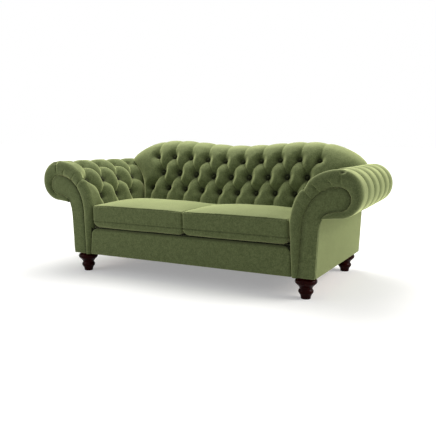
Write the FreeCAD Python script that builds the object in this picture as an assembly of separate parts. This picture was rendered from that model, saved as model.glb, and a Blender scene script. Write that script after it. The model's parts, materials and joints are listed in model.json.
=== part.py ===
import FreeCAD, Part
import math
import os
from FreeCAD import Vector

# Two-seat sofa with scrolled arms, a double-humped back, deep buttoning on the back and
# arms, two loose seat cushions and four turned feet.
# X runs along the sofa, the front faces -Y, Z is up. The origin is on the floor, under the
# middle of the sofa. All lengths are millimetres. Heights called rise are above the base,
# which is the underside of the frame, on top of the feet.

# Whole sofa
overall_depth = 980.0
leg_height = 130.0
fit_gap = 0.3            # air left between pieces that touch
cut_overrun = 5.0        # how far a cutting solid runs past what it cuts

# Arms, as the covered outline seen from the front, right arm
seat_half_width = 711.0  # inner face of the arm at its waist
arm_foot_step = 22.0     # inner face at the base stands this much further out
arm_base_width = 141.0
waist_rise = 300.0
arm_rise = 633.0         # top of the scroll
scroll_reach = 289.0     # from the waist to the middle of the scroll
scroll_radius = 138.0
neck_rise = 270.0        # where the outer side begins to curve out
neck_step = 13.0
under_rise = 348.0       # where the outer side meets the scroll
under_step = 34.0
rear_draw_in = 43.0      # the scroll stands closer in at the back of the arm
rear_drop = 16.0
rear_shrink = 5.0

# Back, as the covered outline
hump_rise = 762.0
hump_dip = 32.0
hump_half_span = 545.0   # from the middle of the back to the top of a hump
shoulder_length = 395.0  # from the top of a hump to the end of its curve
shoulder_drop = 197.0
back_depth = 405.0       # from the outside back to the inside back, at the seat
back_rear_drop = 48.0    # the top rolls down this much to the outside back
back_end_gap = 6.0       # between the back's padding and the arm's
outside_back_thickness = 12.0
outside_back_edge = 4.0  # the outside back stands in from the arm's outline

# Buttoning
tuft_depth = 44.0
tail_pleat_depth = 5.5
end_dent_depth = 9.0     # the padding dips where it meets the arm's front and back
tuft_seat = 24.0         # width of the dent that holds a button
pad_thickness = 62.0
scroll_pad_thickness = 31.0
lining_thickness = 2.5
back_button_pitch = 143.7
arm_button_pitch = 175.0
arm_first_button = 185.0 # from the front of the arm
button_radius = 10.5
button_height = 6.0
button_corners = 8
button_lift = 16.0       # the pleats fold in under the button and hold it off the bottom

# Arm front
front_roll_depth = 32.0  # rolled edge in front of the board
board_thickness = 18.0
board_ease = 5.0         # the board's round edges clear the flats of the padding
facing_thickness = 15.0
facing_foot_inset = 38.0
facing_waist_inset = 78.0
facing_waist_rise = 276.0
facing_top_inset = 101.0
facing_scroll_radius = 66.0
facing_end_rise = 8.0

# Seat base
rail_height = 140.0
rail_thickness = 28.0
side_rail_thickness = 44.0
centre_rail_drop = 25.0  # the middle rail stays clear of the sagging webbing
deck_rise = 185.0
deck_cloth_thickness = 1.2
deck_side_gap = 1.5
webbing_width = 60.0
webbing_thickness = 2.0
webbing_pitch = 118.0
webbing_end_margin = 4.0
under_cloth_thickness = 1.2
border_set_back = 12.0
border_thickness = 36.0
border_round = 24.0
border_corner_round = 28.0
block_side = 90.0
block_height = 45.0

# Arm and back timbers
timber_thickness = 22.0
arm_rail_height = 60.0
arm_base_rail_height = 45.0
stay_rail_inset = 12.0
scroll_rail_side = 44.0
rib_thickness = 18.0
inner_rib_place = 250.0
rib_slot_width = 96.0
rib_slot_height = 150.0
rib_slot_round = 30.0
top_rail_height = 82.0   # at the dip in the middle
top_rail_overhang = 60.0
back_rail_rise = 350.0
outside_arm_thickness = 3.0
arm_pad_rise = 172.0     # lower edge of the inside arm

# Seat cushions
cushion_gap = 1.5
cushion_side_gap = 6.0
cushion_back_gap = 8.0
cushion_front_set_back = 8.0
cushion_side_height = 108.0
cushion_top_crown = 28.0
cushion_bottom_crown = 40.0
cushion_draw_in = 7.0
cushion_face_bulge = 5.0
cushion_rest_inset = 50.0  # from the lower seam to where the underside lies flat
cushion_cover_thickness = 11.0  # velvet with its fibre wrap

# Feet
leg_inset = 71.0         # from the outer face of the arm's base to the foot's axis
leg_front_inset = 73.0
leg_rear_inset = 104.0
leg_rim_radius = 66.0
leg_neck_radius = 38.0
leg_bead_radius = 45.0
leg_toe_radius = 29.0
leg_toe_flare = 9.0

# Bolts
bolt_radius = 4.0
bolt_gap = 0.1
leg_bolt_length = 84.0
leg_bolt_grip = 44.0     # the length that sits in the foot

base_z = leg_height
front_y = -overall_depth / 2
rear_y = overall_depth / 2
frame_z = base_z + under_cloth_thickness
rail_top_z = frame_z + rail_height
side_rail_top_z = rail_top_z + webbing_thickness
deck_z = base_z + deck_rise
board_y = front_y + front_roll_depth
back_panel_y = rear_y - outside_back_thickness
frame_rear_y = back_panel_y - fit_gap
rear_board_y = frame_rear_y - board_thickness
front_rail_y = front_y + border_set_back + border_thickness + fit_gap
back_foot_y = rear_y - back_depth
back_foot_z = deck_z + fit_gap
pad_front_y = board_y + fit_gap
arm_foot_x = seat_half_width + arm_foot_step
arm_outer_x = arm_foot_x + arm_base_width
arm_timber_x = arm_outer_x - outside_arm_thickness - fit_gap
lining_inset = pad_thickness + fit_gap
timber_inset = lining_inset + lining_thickness + fit_gap
board_inset = timber_inset + board_ease
outer_rib_place = arm_foot_x - side_rail_thickness + rib_thickness / 2

# Height along the back, as shares from the seat to the top, for the rows of the buttoning
# and the lines between them: (height share, depth share, turn, spread, dent share)
# turn is how far the surface has turned from facing forward, in degrees. spread is 0 where
# the row has the long set of buttons, 1 where it has the short set.
back_station_shares = [
    (0.0, 0.0, 0.0, 0.0, 0.3),
    (0.22, 0.047, 9.0, 0.0, 0.5),
    (0.42, 0.126, 20.0, 0.0, 1.0),
    (0.5185, 0.177, 21.0, 0.5, 0.55),
    (0.617, 0.228, 21.0, 1.0, 1.0),
    (0.7225, 0.285, 23.0, 0.5, 0.55),
    (0.828, 0.356, 29.0, 0.0, 1.0),
    (0.908, 0.446, 42.0, 0.0, 0.5),
    (0.965, 0.56, 62.0, 0.0, 0.35),
    (1.0, 0.75, 90.0, 0.0, 0.25),
    (0.985, 0.9, 115.0, 0.0, 0.22),
]
# Shares along the back's length that its straight lines run through
back_break_shares = [-1.0, -0.94, -0.86, -0.75, -0.6, -0.44, -0.28, -0.13, 0.0,
                     0.13, 0.28, 0.44, 0.6, 0.75, 0.86, 0.94, 1.0]
back_end_dent_shares = [0.7, 0.8, 0.9, 0.85, 0.75, 0.6, 0.45, 0.25, 0.1, 0.0, 0.0, 0.0]

# Angles round the arm: 0 faces the seat, 90 up, 180 outward, 270 down
# (angle, spread, dent share)
arm_station_turns = [
    (0.0, 0.0, 0.6),
    (17.5, 0.0, 1.0),
    (30.5, 0.5, 0.55),
    (43.5, 1.0, 1.0),
    (60.5, 0.5, 0.55),
    (78.0, 0.0, 0.9),
    (92.0, 0.0, 0.45),
    (118.0, 0.0, 0.32),
    (150.0, 0.0, 0.3),
    (185.0, 0.0, 0.3),
    (225.0, 0.0, 0.28),
    (268.0, 0.0, 0.2),
]
edge_dent_share = 0.1
under_turn = 268.0       # where the scroll's underside begins
board_turn = 250.0

# The rolled edge round the arm's front: (share of its width, share of its depth)
roll_profile_shares = [(0.0, 0.0), (0.0, 0.4), (0.06, 0.72), (0.2, 0.93), (0.42, 1.0),
                       (0.68, 0.95), (0.88, 0.78), (1.0, 0.5), (1.0, 0.0)]
cushion_section_shares = [0, 0.06, 0.16, 0.32, 0.5, 0.68, 0.84, 0.94, 1]
cushion_end_fullness_share = 0.14
# Chords that stand for each arc of the soft forms
puff_chords = 4
fullest_puff_share = 0.42
button_pulls = 8      # times each is drawn nearer
crown_chords = 8
corner_chords = 4
outline_chords = [1, 3, 3, 6, 5, 3]
straight_share = 0.001
smallest_facet = 0.01
cross_strap_shares = [0.1, 0.35, 0.6, 0.85]

# Places that follow from the sizes and tables
rail_span = (front_rail_y + rail_thickness, frame_rear_y - rail_thickness)
under_station = len(arm_station_turns) + 1
tail_station = len(back_station_shares)
top_rail_z = base_z + hump_rise - hump_dip - back_rear_drop - board_inset - top_rail_height
back_rail_z = base_z + back_rail_rise
long_count = 2 * round(seat_half_width / back_button_pitch)
long_row = [back_button_pitch * (n - (long_count - 1) / 2) for n in range(long_count)]
short_row = [(a + b) / 2 for a, b in zip(long_row, long_row[1:])]
arm_count = 1 + int((frame_rear_y - front_y - arm_first_button) / arm_button_pitch)
arm_long_row = [front_y + arm_first_button + arm_button_pitch * n for n in range(arm_count)]
arm_short_row = [y - arm_button_pitch / 2 for y in arm_long_row]
arm_short_row.append(arm_long_row[-1] + arm_button_pitch / 2)


def line(p, q):
    return Part.LineSegment(p, q).toShape()


def arc(p, m, q):
    return Part.Arc(p, m, q).toShape()


def bend(p, m, q):
    """An arc through three points, or a straight edge where they lie in line."""
    if (m - p).cross(q - p).Length < 1e-3 * (q - p).Length:
        return line(p, q)
    return arc(p, m, q)


def prism(points, direction):
    return Part.Face(Part.makePolygon(points + [points[0]])).extrude(direction)


def box(x0, x1, y0, y1, z0, z1):
    return Part.makeBox(x1 - x0, y1 - y0, z1 - z0, Vector(x0, y0, z0))


def mirrored(shape):
    return shape.mirror(Vector(0, 0, 0), Vector(1, 0, 0))


def mix(a, b, share):
    return a + (b - a) * share


def plan_share(y):
    """0 at the front of the sofa, 1 at the back."""
    return (y - front_y) / overall_depth


def scroll_at(y):
    """Middle of the scroll and its radius, at a place along the arm."""
    share = plan_share(y)
    radius = scroll_radius - rear_shrink * share
    x = seat_half_width + scroll_reach - rear_draw_in * share
    top = base_z + arm_rise - rear_drop * share
    return x, top, radius


def arm_point(turn, y, inset):
    """A point on the arm's covered surface, moved in by inset."""
    x, top, radius = scroll_at(y)
    angle = math.radians(turn)
    if turn <= 90.0:
        waist_z = base_z + waist_rise
        across = x - seat_half_width - inset
        up = top - waist_z - inset
        return Vector(x - across * math.cos(angle), y, waist_z + up * math.sin(angle))
    reach = radius - inset
    return Vector(x - reach * math.cos(angle), y, top - radius + reach * math.sin(angle))


def inner_arm_x(z, y):
    """The arm's inner face at a height, where a piece beside it has to end."""
    waist_z = base_z + waist_rise
    if z <= waist_z:
        share = (waist_z - z) / waist_rise
        return seat_half_width + arm_foot_step * share
    x, top, radius = scroll_at(y)
    height = min(1.0, (z - waist_z) / (top - waist_z))
    return x - (x - seat_half_width) * math.sqrt(1.0 - height * height)


def under_point(y):
    """Where the arm's outer side meets the underside of the scroll."""
    return Vector(arm_outer_x + under_step - rear_draw_in * plan_share(y) / 2, y,
                  base_z + under_rise)


def arm_side(y, inset):
    """The outer side of the arm from the scroll down to the base, as (start, middle, end)."""
    under = under_point(y) - Vector(inset, 0, 0)
    neck = Vector(arm_outer_x + neck_step - inset, y, base_z + neck_rise)
    foot = Vector(arm_outer_x - inset, y, base_z)
    belly = Vector(mix(neck.x, under.x, 0.32), y, mix(neck.z, under.z, 0.55))
    return [(under, belly, neck), (neck, (neck + foot) / 2, foot)]


def edges_of(chain):
    return [bend(*piece) for piece in chain]


def closed_face(chain):
    """A flat face inside a chain of arcs and lines, closed by one more line."""
    closing = line(chain[-1][2], chain[0][0])
    return Part.Face(Part.Wire(edges_of(chain) + [closing]))


def arm_curve(y, inset, last_turn):
    """The arm's outline over the scroll, from the waist to a turn under it."""
    turns = [0.0, 45.0, 90.0, 180.0, last_turn]
    chain = []
    for start, end in zip(turns, turns[1:]):
        chain.append(tuple(arm_point(turn, y, inset)
                           for turn in (start, (start + end) / 2, end)))
    return chain


def roll_outline(y):
    """The outer edge of the arm's front, from the base over the scroll to its underside."""
    foot = Vector(arm_foot_x, y, base_z)
    curve = arm_curve(y, 0.0, under_turn)
    under = under_point(y)
    waist, last = curve[0][0], curve[-1][2]
    return [(foot, (foot + waist) / 2, waist)] + curve + [(last, (last + under) / 2, under)]


def facing_outline(y):
    """The edge of the flat panel on the arm's front, piece by piece beside roll_outline."""
    x, top, radius = scroll_at(y)
    foot = Vector(arm_foot_x + facing_foot_inset, y, base_z)
    waist_z = base_z + facing_waist_rise
    across = x - seat_half_width - facing_waist_inset
    up = top - facing_top_inset - waist_z
    middle_z = waist_z + up - facing_scroll_radius

    def point(turn):
        angle = math.radians(turn)
        if turn <= 90.0:
            return Vector(x - across * math.cos(angle), y, waist_z + up * math.sin(angle))
        return Vector(x - facing_scroll_radius * math.cos(angle), y,
                      middle_z + facing_scroll_radius * math.sin(angle))

    turns = [0.0, 45.0, 90.0, 180.0, under_turn]
    chain = [(foot, (foot + point(0.0)) / 2, point(0.0))]
    for start, end in zip(turns, turns[1:]):
        chain.append((point(start), point((start + end) / 2), point(end)))
    end = under_point(y) + Vector(0, 0, facing_end_rise)
    last = point(under_turn)
    sweep = Vector(mix(end.x, last.x, 0.3), y, mix(end.z, last.z, 0.6))
    return chain + [(last, sweep, end)]


def board_face(y):
    """An arm board: inside the padding, the lining and the outer cloth."""
    side = arm_side(y, outside_arm_thickness + fit_gap)
    ledge_z = base_z + arm_pad_rise - fit_gap
    ledge_x = inner_arm_x(ledge_z, y) + board_inset
    throat = side[0][0] + Vector(0, 0, scroll_pad_thickness + board_ease)
    curve = arm_curve(y, board_inset, board_turn)
    foot = Vector(arm_foot_x, y, base_z)
    base = Vector(arm_timber_x, y, base_z)
    corners = [foot, Vector(arm_foot_x, y, ledge_z), Vector(ledge_x, y, ledge_z), curve[0][0]]
    edges = polyline(corners) + edges_of(curve)
    edges += polyline([curve[-1][2], throat, side[0][0]])
    edges += edges_of(side[:1]) + polyline([side[0][2], base, foot])
    return Part.Face(Part.Wire(edges))


def polyline(points):
    return [line(p, q) for p, q in zip(points, points[1:])]


def along(p, m, q, count):
    """Points from p to q in count steps, on the arc through m or on a straight line."""
    if (m - p).cross(q - p).Length < straight_share * (q - p).Length ** 2:
        return [mix(p, q, n / count) for n in range(count + 1)]
    return Part.Arc(p, m, q).toShape().discretize(Number=count + 1)


def joined(pieces):
    """One list of points from pieces that start where the last one ended."""
    points = pieces[0][:1]
    for piece in pieces:
        points += piece[1:]
    return points


def patch(a, b, c, d):
    """The flat triangles between two neighbouring edges."""
    if a.distanceToPoint(c) > b.distanceToPoint(d):
        a, b, c, d = b, c, d, a
    faces = []
    for corners in ([a, b, c], [a, c, d]):
        if (corners[1] - corners[0]).cross(corners[2] - corners[0]).Length > smallest_facet:
            faces.append(Part.Face(Part.makePolygon(corners + corners[:1])))
    return faces


def solid_from(faces):
    shell = Part.makeShell(faces)
    shell.sewShape()
    solid = Part.makeSolid(shell)
    if solid.Volume < 0:
        solid.reverse()
    return solid


def skin(rings, closed):
    """Facets between rings of points. Each point of a ring faces its partner in the next."""
    faces = []
    for ring, following in zip(rings, rings[1:]):
        count = len(ring) if closed else len(ring) - 1
        for n in range(count):
            m = (n + 1) % len(ring)
            faces += patch(ring[n], ring[m], following[m], following[n])
    return faces


def lofted(rings):
    """A solid through flat closed rings of points."""
    faces = skin(rings, True)
    for ring in (rings[0], rings[-1]):
        faces.append(Part.Face(Part.makePolygon(ring + ring[:1])))
    return solid_from(faces)


def tapered_bar(front_corners, rear_corners):
    """A straight timber between two four-cornered ends."""
    return lofted([front_corners, rear_corners])


def rod(centre, direction, radius, length):
    return Part.makeCylinder(radius, length, centre, direction)


# The buttoning
def scallop_breaks(buttons, spread, pitch, start, end, open_ends):
    """Where the pleats cross a row. Each button's dent widens into a puff as spread grows."""
    half = mix(tuft_seat, pitch - tuft_seat, spread) / 2
    breaks = [start]
    inner = (1 - spread) * tuft_seat / 2
    for n, place in enumerate(buttons):
        if open_ends and n == 0:
            place += spread * pitch / 2
            breaks += [place - tuft_seat / 2, place + inner]
        elif open_ends and n == len(buttons) - 1:
            place -= spread * pitch / 2
            breaks += [place - inner, place + tuft_seat / 2]
        else:
            breaks += [place - half, place + half]
    if not open_ends:
        breaks.insert(1, mix(start + tuft_seat / 2, buttons[0] - (pitch + tuft_seat) / 2, spread))
    return breaks + [end]


def scalloped(breaks, point, dents):
    """Points over the puffs of a row, between its pleats. dents is how deep each lies."""
    pieces = []
    for a, b, dent_a, dent_b in zip(breaks, breaks[1:], dents, dents[1:]):
        p, q = point(a, dent_a), point(b, dent_b)
        narrow = b - a < tuft_seat + fit_gap
        sunk = max(0.0, (dent_a + dent_b) / 2 - fullest_puff_share * (b - a))
        crest = (p + q) / 2 if narrow else point((a + b) / 2, sunk)
        pieces.append(along(p, crest, q, puff_chords))
    return joined(pieces)


def button(base, outward):
    """A covered button. Its back is at base."""
    side = outward.cross(Vector(1, 0, 0) if abs(outward.x) < 0.5 else Vector(0, 1, 0))
    side.normalize()
    up = outward.cross(side)
    corners = []
    for n in range(button_corners):
        angle = 2 * math.pi * n / button_corners
        corners.append(base + (side * math.cos(angle) + up * math.sin(angle)) * button_radius)
    return prism(corners, outward * button_height)


def near_faces(pad, place, reach):
    """The faces of the padding round a place."""
    boxes = [(face, face.BoundBox) for face in pad.Faces]
    for _, bounds in boxes:
        bounds.enlarge(reach)
    return Part.makeCompound([face for face, bounds in boxes if bounds.isInside(place)])


def button_row(places, point, dent, outward, pad):
    """Covered buttons pulled into their dents until they meet the padding."""
    row = []
    for place in places:
        base = point(place, tuft_depth * dent - button_lift)
        one, dented = button(base, outward), near_faces(pad, base, tuft_depth)
        for _ in range(button_pulls):
            one.translate(outward * (fit_gap - one.distToShape(dented)[0]))
        row.append(one)
    return Part.makeCompound(row)


# The back
def back_top(x):
    """Height of the back's top edge: two humps, a dip between them and round shoulders."""
    x = abs(x)
    top = base_z + hump_rise
    if x <= hump_half_span:
        return top - hump_dip * (1 + math.cos(math.pi * x / hump_half_span)) / 2
    out = min(1.0, (x - hump_half_span) / shoulder_length)
    return top - shoulder_drop * (1 - math.sqrt(1 - out * out))


def back_point(station, x, inset):
    """A point on the inside back's covered surface, moved in by inset."""
    if station == tail_station:
        return Vector(x, frame_rear_y, back_top(x) - back_rear_drop - inset)
    rise, depth, turn = back_station_shares[station][:3]
    y = back_foot_y + depth * back_depth
    z = back_foot_z + rise * (back_top(x) - back_foot_z)
    angle = math.radians(turn)
    return Vector(x, y + inset * math.cos(angle), z - inset * math.sin(angle))


def back_end(station, inset):
    """How far the back runs along the sofa at a station, until it meets the arm."""
    low, high = seat_half_width / 2, hump_half_span + shoulder_length
    while high - low > fit_gap / 10:
        x = (low + high) / 2
        place = back_point(station, x, inset)
        free = x < inner_arm_x(place.z, place.y) - back_end_gap
        low, high = (x, high) if free else (low, x)
    return low


def back_line(station, inset):
    """Points along the sofa at a station, as the straight back of the padding has them."""
    end = back_end(station, inset)
    return [back_point(station, share * end, inset) for share in back_break_shares]


def back_puff_ring(station):
    """The closed ring of the tufted back at a station: puffs in front, lines behind."""
    rim = tuft_depth * back_end_dent_shares[station]
    end = back_end(station, rim)
    spread, dent = 0.0, tail_pleat_depth / tuft_depth
    if station != tail_station:
        spread, dent = back_station_shares[station][3:]
    breaks = scallop_breaks(long_row, spread, back_button_pitch, -end, end, True)
    dents = [rim] + [tuft_depth * dent] * (len(breaks) - 2) + [rim]
    puffs = scalloped(breaks, lambda x, inset: back_point(station, x, inset), dents)
    return puffs + back_line(station, pad_thickness)[::-1]


def tufted_back():
    return lofted([back_puff_ring(n) for n in range(tail_station + 1)])


def back_lining():
    """Hessian stretched over the back timbers, behind the padding."""
    return lofted([back_line(n, lining_inset) + back_line(n, lining_inset + lining_thickness)[::-1]
                   for n in range(tail_station + 1)])


def back_timber_point(station, x):
    """Where a back timber may reach at x, under the straight lines of the lining."""
    points = back_line(station, timber_inset)
    n = max(i for i in range(len(points) - 1) if points[i].x <= x)
    share = (x - points[n].x) / (points[n + 1].x - points[n].x)
    return mix(points[n], points[n + 1], share)


def back_rib(place, foot_z):
    """A plywood rib of the back frame, housed for the top rail and the back rail."""
    left, right = place - rib_thickness / 2, place + rib_thickness / 2
    front = []
    for n in range(tail_station + 1):
        a, b = back_timber_point(n, left), back_timber_point(n, right)
        front.append(Vector(left, max(a.y, b.y), min(a.z, b.z)))
    outline = [Vector(left, front[0].y, foot_z)] + front + [Vector(left, frame_rear_y, foot_z)]
    rib = prism(outline, Vector(rib_thickness, 0, 0))
    middle_y = (front[3].y + frame_rear_y - timber_thickness) / 2
    middle_z = (front[2].z + front[5].z) / 2
    slot = box(left - cut_overrun, right + cut_overrun,
               middle_y - rib_slot_width / 2, middle_y + rib_slot_width / 2,
               middle_z - rib_slot_height / 2, middle_z + rib_slot_height / 2)
    corners = [e for e in slot.Edges if e.BoundBox.XLength > rib_thickness]
    slot = slot.makeChamfer(rib_slot_round, corners)
    housings = [box(left - cut_overrun, right + cut_overrun,
                    frame_rear_y - timber_thickness, frame_rear_y + cut_overrun, low, high)
                for low, high in ((top_rail_z, base_z + hump_rise),
                                  (back_rail_z, back_rail_z + arm_rail_height))]
    return rib.cut(slot).cut(Part.makeCompound(housings))


def back_crest_chain(y, drop, end):
    """Arcs along the back's top from one end to the other, lowered by drop."""
    shares = back_break_shares
    chain = []
    for a, m, b in zip(shares[0::2], shares[1::2], shares[2::2]):
        chain.append(tuple(Vector(s * end, y, back_top(s * end) - drop) for s in (a, m, b)))
    return chain


def back_top_rail():
    """The board behind the ribs that gives the back its double hump."""
    y = frame_rear_y - timber_thickness
    end = outer_rib_place + top_rail_overhang
    chain = back_crest_chain(y, back_rear_drop + board_inset, end)
    corners = [chain[-1][2], Vector(end, y, top_rail_z), Vector(-end, y, top_rail_z),
               chain[0][0]]
    face = Part.Face(Part.Wire(edges_of(chain) + polyline(corners)))
    return face.extrude(Vector(0, timber_thickness, 0))


def outside_back():
    """The flat upholstered panel behind the sofa, with the arms' and the back's outline."""
    y = back_panel_y
    end = back_end(tail_station, 0.0) - outside_back_edge
    x, top, radius = scroll_at(y)
    across = x - seat_half_width - outside_back_edge
    meeting = math.degrees(math.acos((x - end) / across))
    scroll = []
    for start, stop in ((under_turn, 180.0), (180.0, 90.0), (90.0, meeting)):
        scroll.append(tuple(arm_point(turn, y, outside_back_edge)
                            for turn in (start, (start + stop) / 2, stop)))
    side = [(q, m, p) for p, m, q in arm_side(y, outside_back_edge)[::-1]]
    right = side + [(side[-1][2], (side[-1][2] + scroll[0][0]) / 2, scroll[0][0])] + scroll
    left = [tuple(Vector(-p.x, p.y, p.z) for p in piece[::-1]) for piece in right[::-1]]
    crest = back_crest_chain(y, back_rear_drop + outside_back_edge, end)
    crest[0] = (left[0][0], crest[0][1], crest[0][2])
    crest[-1] = (crest[-1][0], crest[-1][1], right[-1][2])
    crest_back = [piece[::-1] for piece in crest[::-1]]
    face = closed_face(right + crest_back + left)
    return face.extrude(Vector(0, outside_back_thickness, 0))


# The arms
def arm_station_point(station, y, inset):
    """A point over the arm: at its foot, round the turns, or on the scroll's underside."""
    if station == 0:
        z = base_z + arm_pad_rise
        return Vector(inner_arm_x(z, y) + inset, y, z)
    if station <= len(arm_station_turns):
        return arm_point(arm_station_turns[station - 1][0], y, inset)
    return under_point(y) + Vector(0, 0, inset)


def arm_pad_ring(station):
    """The closed ring of the tufted arm at a station."""
    spread, dent = arm_station_turns[max(0, min(station, len(arm_station_turns)) - 1)][1:]
    if station in (0, under_station):
        dent = edge_dent_share
    thickness = pad_thickness if station < under_station - 1 else scroll_pad_thickness
    breaks = scallop_breaks(arm_long_row, spread, arm_button_pitch, pad_front_y,
                            frame_rear_y, False)
    dents = [end_dent_depth, mix(end_dent_depth, tuft_depth * dent, spread)]
    dents += [tuft_depth * dent] * (len(breaks) - 3) + [end_dent_depth]

    def point(y, inset):
        return arm_station_point(station, y, inset)

    return scalloped(breaks, point, dents) + [point(frame_rear_y, thickness),
                                              point(pad_front_y, thickness)]


def tufted_arm():
    return lofted([arm_pad_ring(n) for n in range(under_station + 1)])


def arm_lining():
    """Hessian under the arm's padding, from the lower rail round most of the scroll."""
    rings = []
    for n in range(under_station - 1):
        corners = [arm_station_point(n, y, inset) for y, inset in (
            (pad_front_y, lining_inset), (frame_rear_y, lining_inset),
            (frame_rear_y, lining_inset + lining_thickness),
            (pad_front_y, lining_inset + lining_thickness))]
        rings.append(corners)
    return lofted(rings)


def outline_points(chain):
    """The points that the arm front's rolled edge and its facing share."""
    return joined([along(*piece, count) for piece, count in zip(chain, outline_chords)])


def arm_front_roll():
    """The rolled edge round the arm's front, fuller in its middle."""
    rings = []
    for outer, inner in zip(outline_points(roll_outline(board_y)),
                            outline_points(facing_outline(board_y))):
        rings.append([mix(outer, inner, inset) - Vector(0, depth * front_roll_depth, 0)
                      for inset, depth in roll_profile_shares])
    return lofted(rings)


def arm_facing():
    under, belly, neck = arm_side(board_y, 0.0)[0]
    foot = arm_side(board_y, 0.0)[1][2]
    corners = outline_points(facing_outline(board_y)) + [under, belly, neck, foot]
    return prism(corners, Vector(0, -facing_thickness, 0))


def outside_arm():
    """The covered panel on the arm's outer side."""
    rings = []
    for y in (board_y, frame_rear_y):
        outer, inner = [[piece[0][0], piece[0][1], piece[1][0], piece[1][2]]
                        for piece in (arm_side(y, 0.0), arm_side(y, outside_arm_thickness))]
        rings.append(outer + inner[::-1])
    return lofted(rings)


def arm_board(y):
    return board_face(y).extrude(Vector(0, board_thickness, 0))


def arm_base_rail():
    """The plank that the feet screw into and the bolts hold to the seat frame."""
    rail = box(arm_foot_x, arm_timber_x, board_y + board_thickness, rear_board_y,
               base_z, base_z + arm_base_rail_height)
    holes = [rod(p + Vector(0, 0, -leg_bolt_grip), Vector(0, 0, 1), bolt_radius + bolt_gap,
                 leg_bolt_length + cut_overrun) for p in leg_places()]
    return rail.cut(Part.makeCompound(holes))


def arm_rail(corners_at):
    """A timber from the front board to the rear board. corners_at gives its section."""
    return tapered_bar(corners_at(board_y + board_thickness), corners_at(rear_board_y))


def section(x0, x1, z0, z1, y):
    return [Vector(x0, y, z0), Vector(x1, y, z0), Vector(x1, y, z1), Vector(x0, y, z1)]


def stay_section(y):
    x = arm_foot_x + stay_rail_inset
    z = base_z + arm_pad_rise - fit_gap
    return section(x, x + timber_thickness, z - arm_rail_height, z, y)


def scroll_section(y):
    x, top, radius = scroll_at(y)
    z = top - radius
    half = scroll_rail_side / 2
    return section(x - half, x + half, z - half, z + half, y)


def neck_section(y):
    x = arm_timber_x + neck_step
    z = base_z + neck_rise
    return section(x - timber_thickness, x, z, z + arm_rail_height, y)


# The seat
def front_rail():
    return box(-arm_foot_x, arm_foot_x, front_rail_y, front_rail_y + rail_thickness,
               frame_z, rail_top_z)


def rear_rail():
    return box(-arm_foot_x, arm_foot_x, frame_rear_y - rail_thickness, frame_rear_y,
               frame_z, rail_top_z)


def side_rail():
    return box(arm_foot_x - side_rail_thickness, arm_foot_x, rail_span[0], rail_span[1],
               frame_z, side_rail_top_z)


def centre_rail():
    return box(-rail_thickness / 2, rail_thickness / 2, rail_span[0], rail_span[1],
               frame_z, rail_top_z - centre_rail_drop)


def corner_blocks():
    """Glue blocks in the four inner corners of the seat frame."""
    blocks = []
    x = arm_foot_x - side_rail_thickness
    for y, turn in ((rail_span[0], 1), (rail_span[1], -1)):
        corners = [Vector(x, y, frame_z), Vector(x - block_side, y, frame_z),
                   Vector(x, y + turn * block_side, frame_z)]
        block = prism(corners, Vector(0, 0, block_height))
        blocks += [block, mirrored(block)]
    return Part.makeCompound(blocks)


def seat_webbing():
    """Elastic straps: one layer front to back, one across over it."""
    straps = []
    count = 2 * int((outer_rib_place - rib_thickness) / webbing_pitch)
    for n in range(count):
        x = webbing_pitch * (n - (count - 1) / 2)
        straps.append(box(x - webbing_width / 2, x + webbing_width / 2,
                          front_rail_y + webbing_end_margin, frame_rear_y - webbing_end_margin,
                          rail_top_z, side_rail_top_z))
    for share in cross_strap_shares:
        y = mix(rail_span[0], back_foot_y, share)
        end = arm_foot_x - webbing_end_margin
        straps.append(box(-end, end, y, y + webbing_width, side_rail_top_z,
                          side_rail_top_z + webbing_thickness))
    return Part.makeCompound(straps)


def deck_box(z0, z1):
    half = inner_arm_x(deck_z, front_y) - deck_side_gap
    return box(-half, half, front_rail_y, back_foot_y + timber_inset - fit_gap, z0, z1)


def deck_pad():
    return deck_box(side_rail_top_z + webbing_thickness, deck_z - deck_cloth_thickness)


def deck_cloth():
    return deck_box(deck_z - deck_cloth_thickness, deck_z)


def border_outline(y, inset):
    """The front border's outline, its sides and top moved in by inset."""
    side_x = inner_arm_x(deck_z, y) - fit_gap - inset
    foot_x = arm_foot_x - fit_gap - inset
    radius = border_corner_round - inset
    centre = Vector(side_x - radius, y, deck_z - inset - radius)
    slant = radius * math.sqrt(0.5)
    right = [Vector(foot_x, y, base_z)]
    right += along(centre + Vector(radius, 0, 0), centre + Vector(slant, 0, slant),
                   centre + Vector(0, 0, radius), corner_chords)
    return right + [Vector(-p.x, p.y, p.z) for p in right[::-1]]


def front_border():
    """The padded panel under the cushions, round at its top edge and upper corners."""
    y = front_y + border_set_back
    rings = [border_outline(y + border_thickness, 0.0)]
    for n in range(corner_chords + 1):
        angle = math.pi / 2 * n / corner_chords
        rings.append(border_outline(y + border_round * (1 - math.sin(angle)),
                                    border_round * (1 - math.cos(angle))))
    return lofted(rings)


def dust_cover():
    """The bottom cloth, tacked under the seat frame."""
    return box(-arm_foot_x, arm_foot_x, front_rail_y, frame_rear_y, base_z, frame_z)


# The seat cushions
def cushion_underside(x, side_x, rear, front, low, drop):
    """The underside from the back to the front seam: flat where it rests, round at its ends."""
    reach = min(cushion_rest_inset, (rear - front) / 3)
    steps = crown_chords // 2 - 1
    curve = []
    for n in range(steps + 1):
        angle = math.pi / 2 * n / steps
        curve.append((reach * (1 - math.cos(angle)), low - drop * math.sin(angle)))
    places = [(rear - into, z) for into, z in curve] + [((rear + front) / 2, low - drop)]
    places += [(front + into, z) for into, z in curve[::-1]]
    points = []
    for y, z in places:
        share = (y - front) / (rear - front)
        points.append(Vector(mix(x, side_x, math.sin(math.pi * share)), y, z))
    return points


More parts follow.
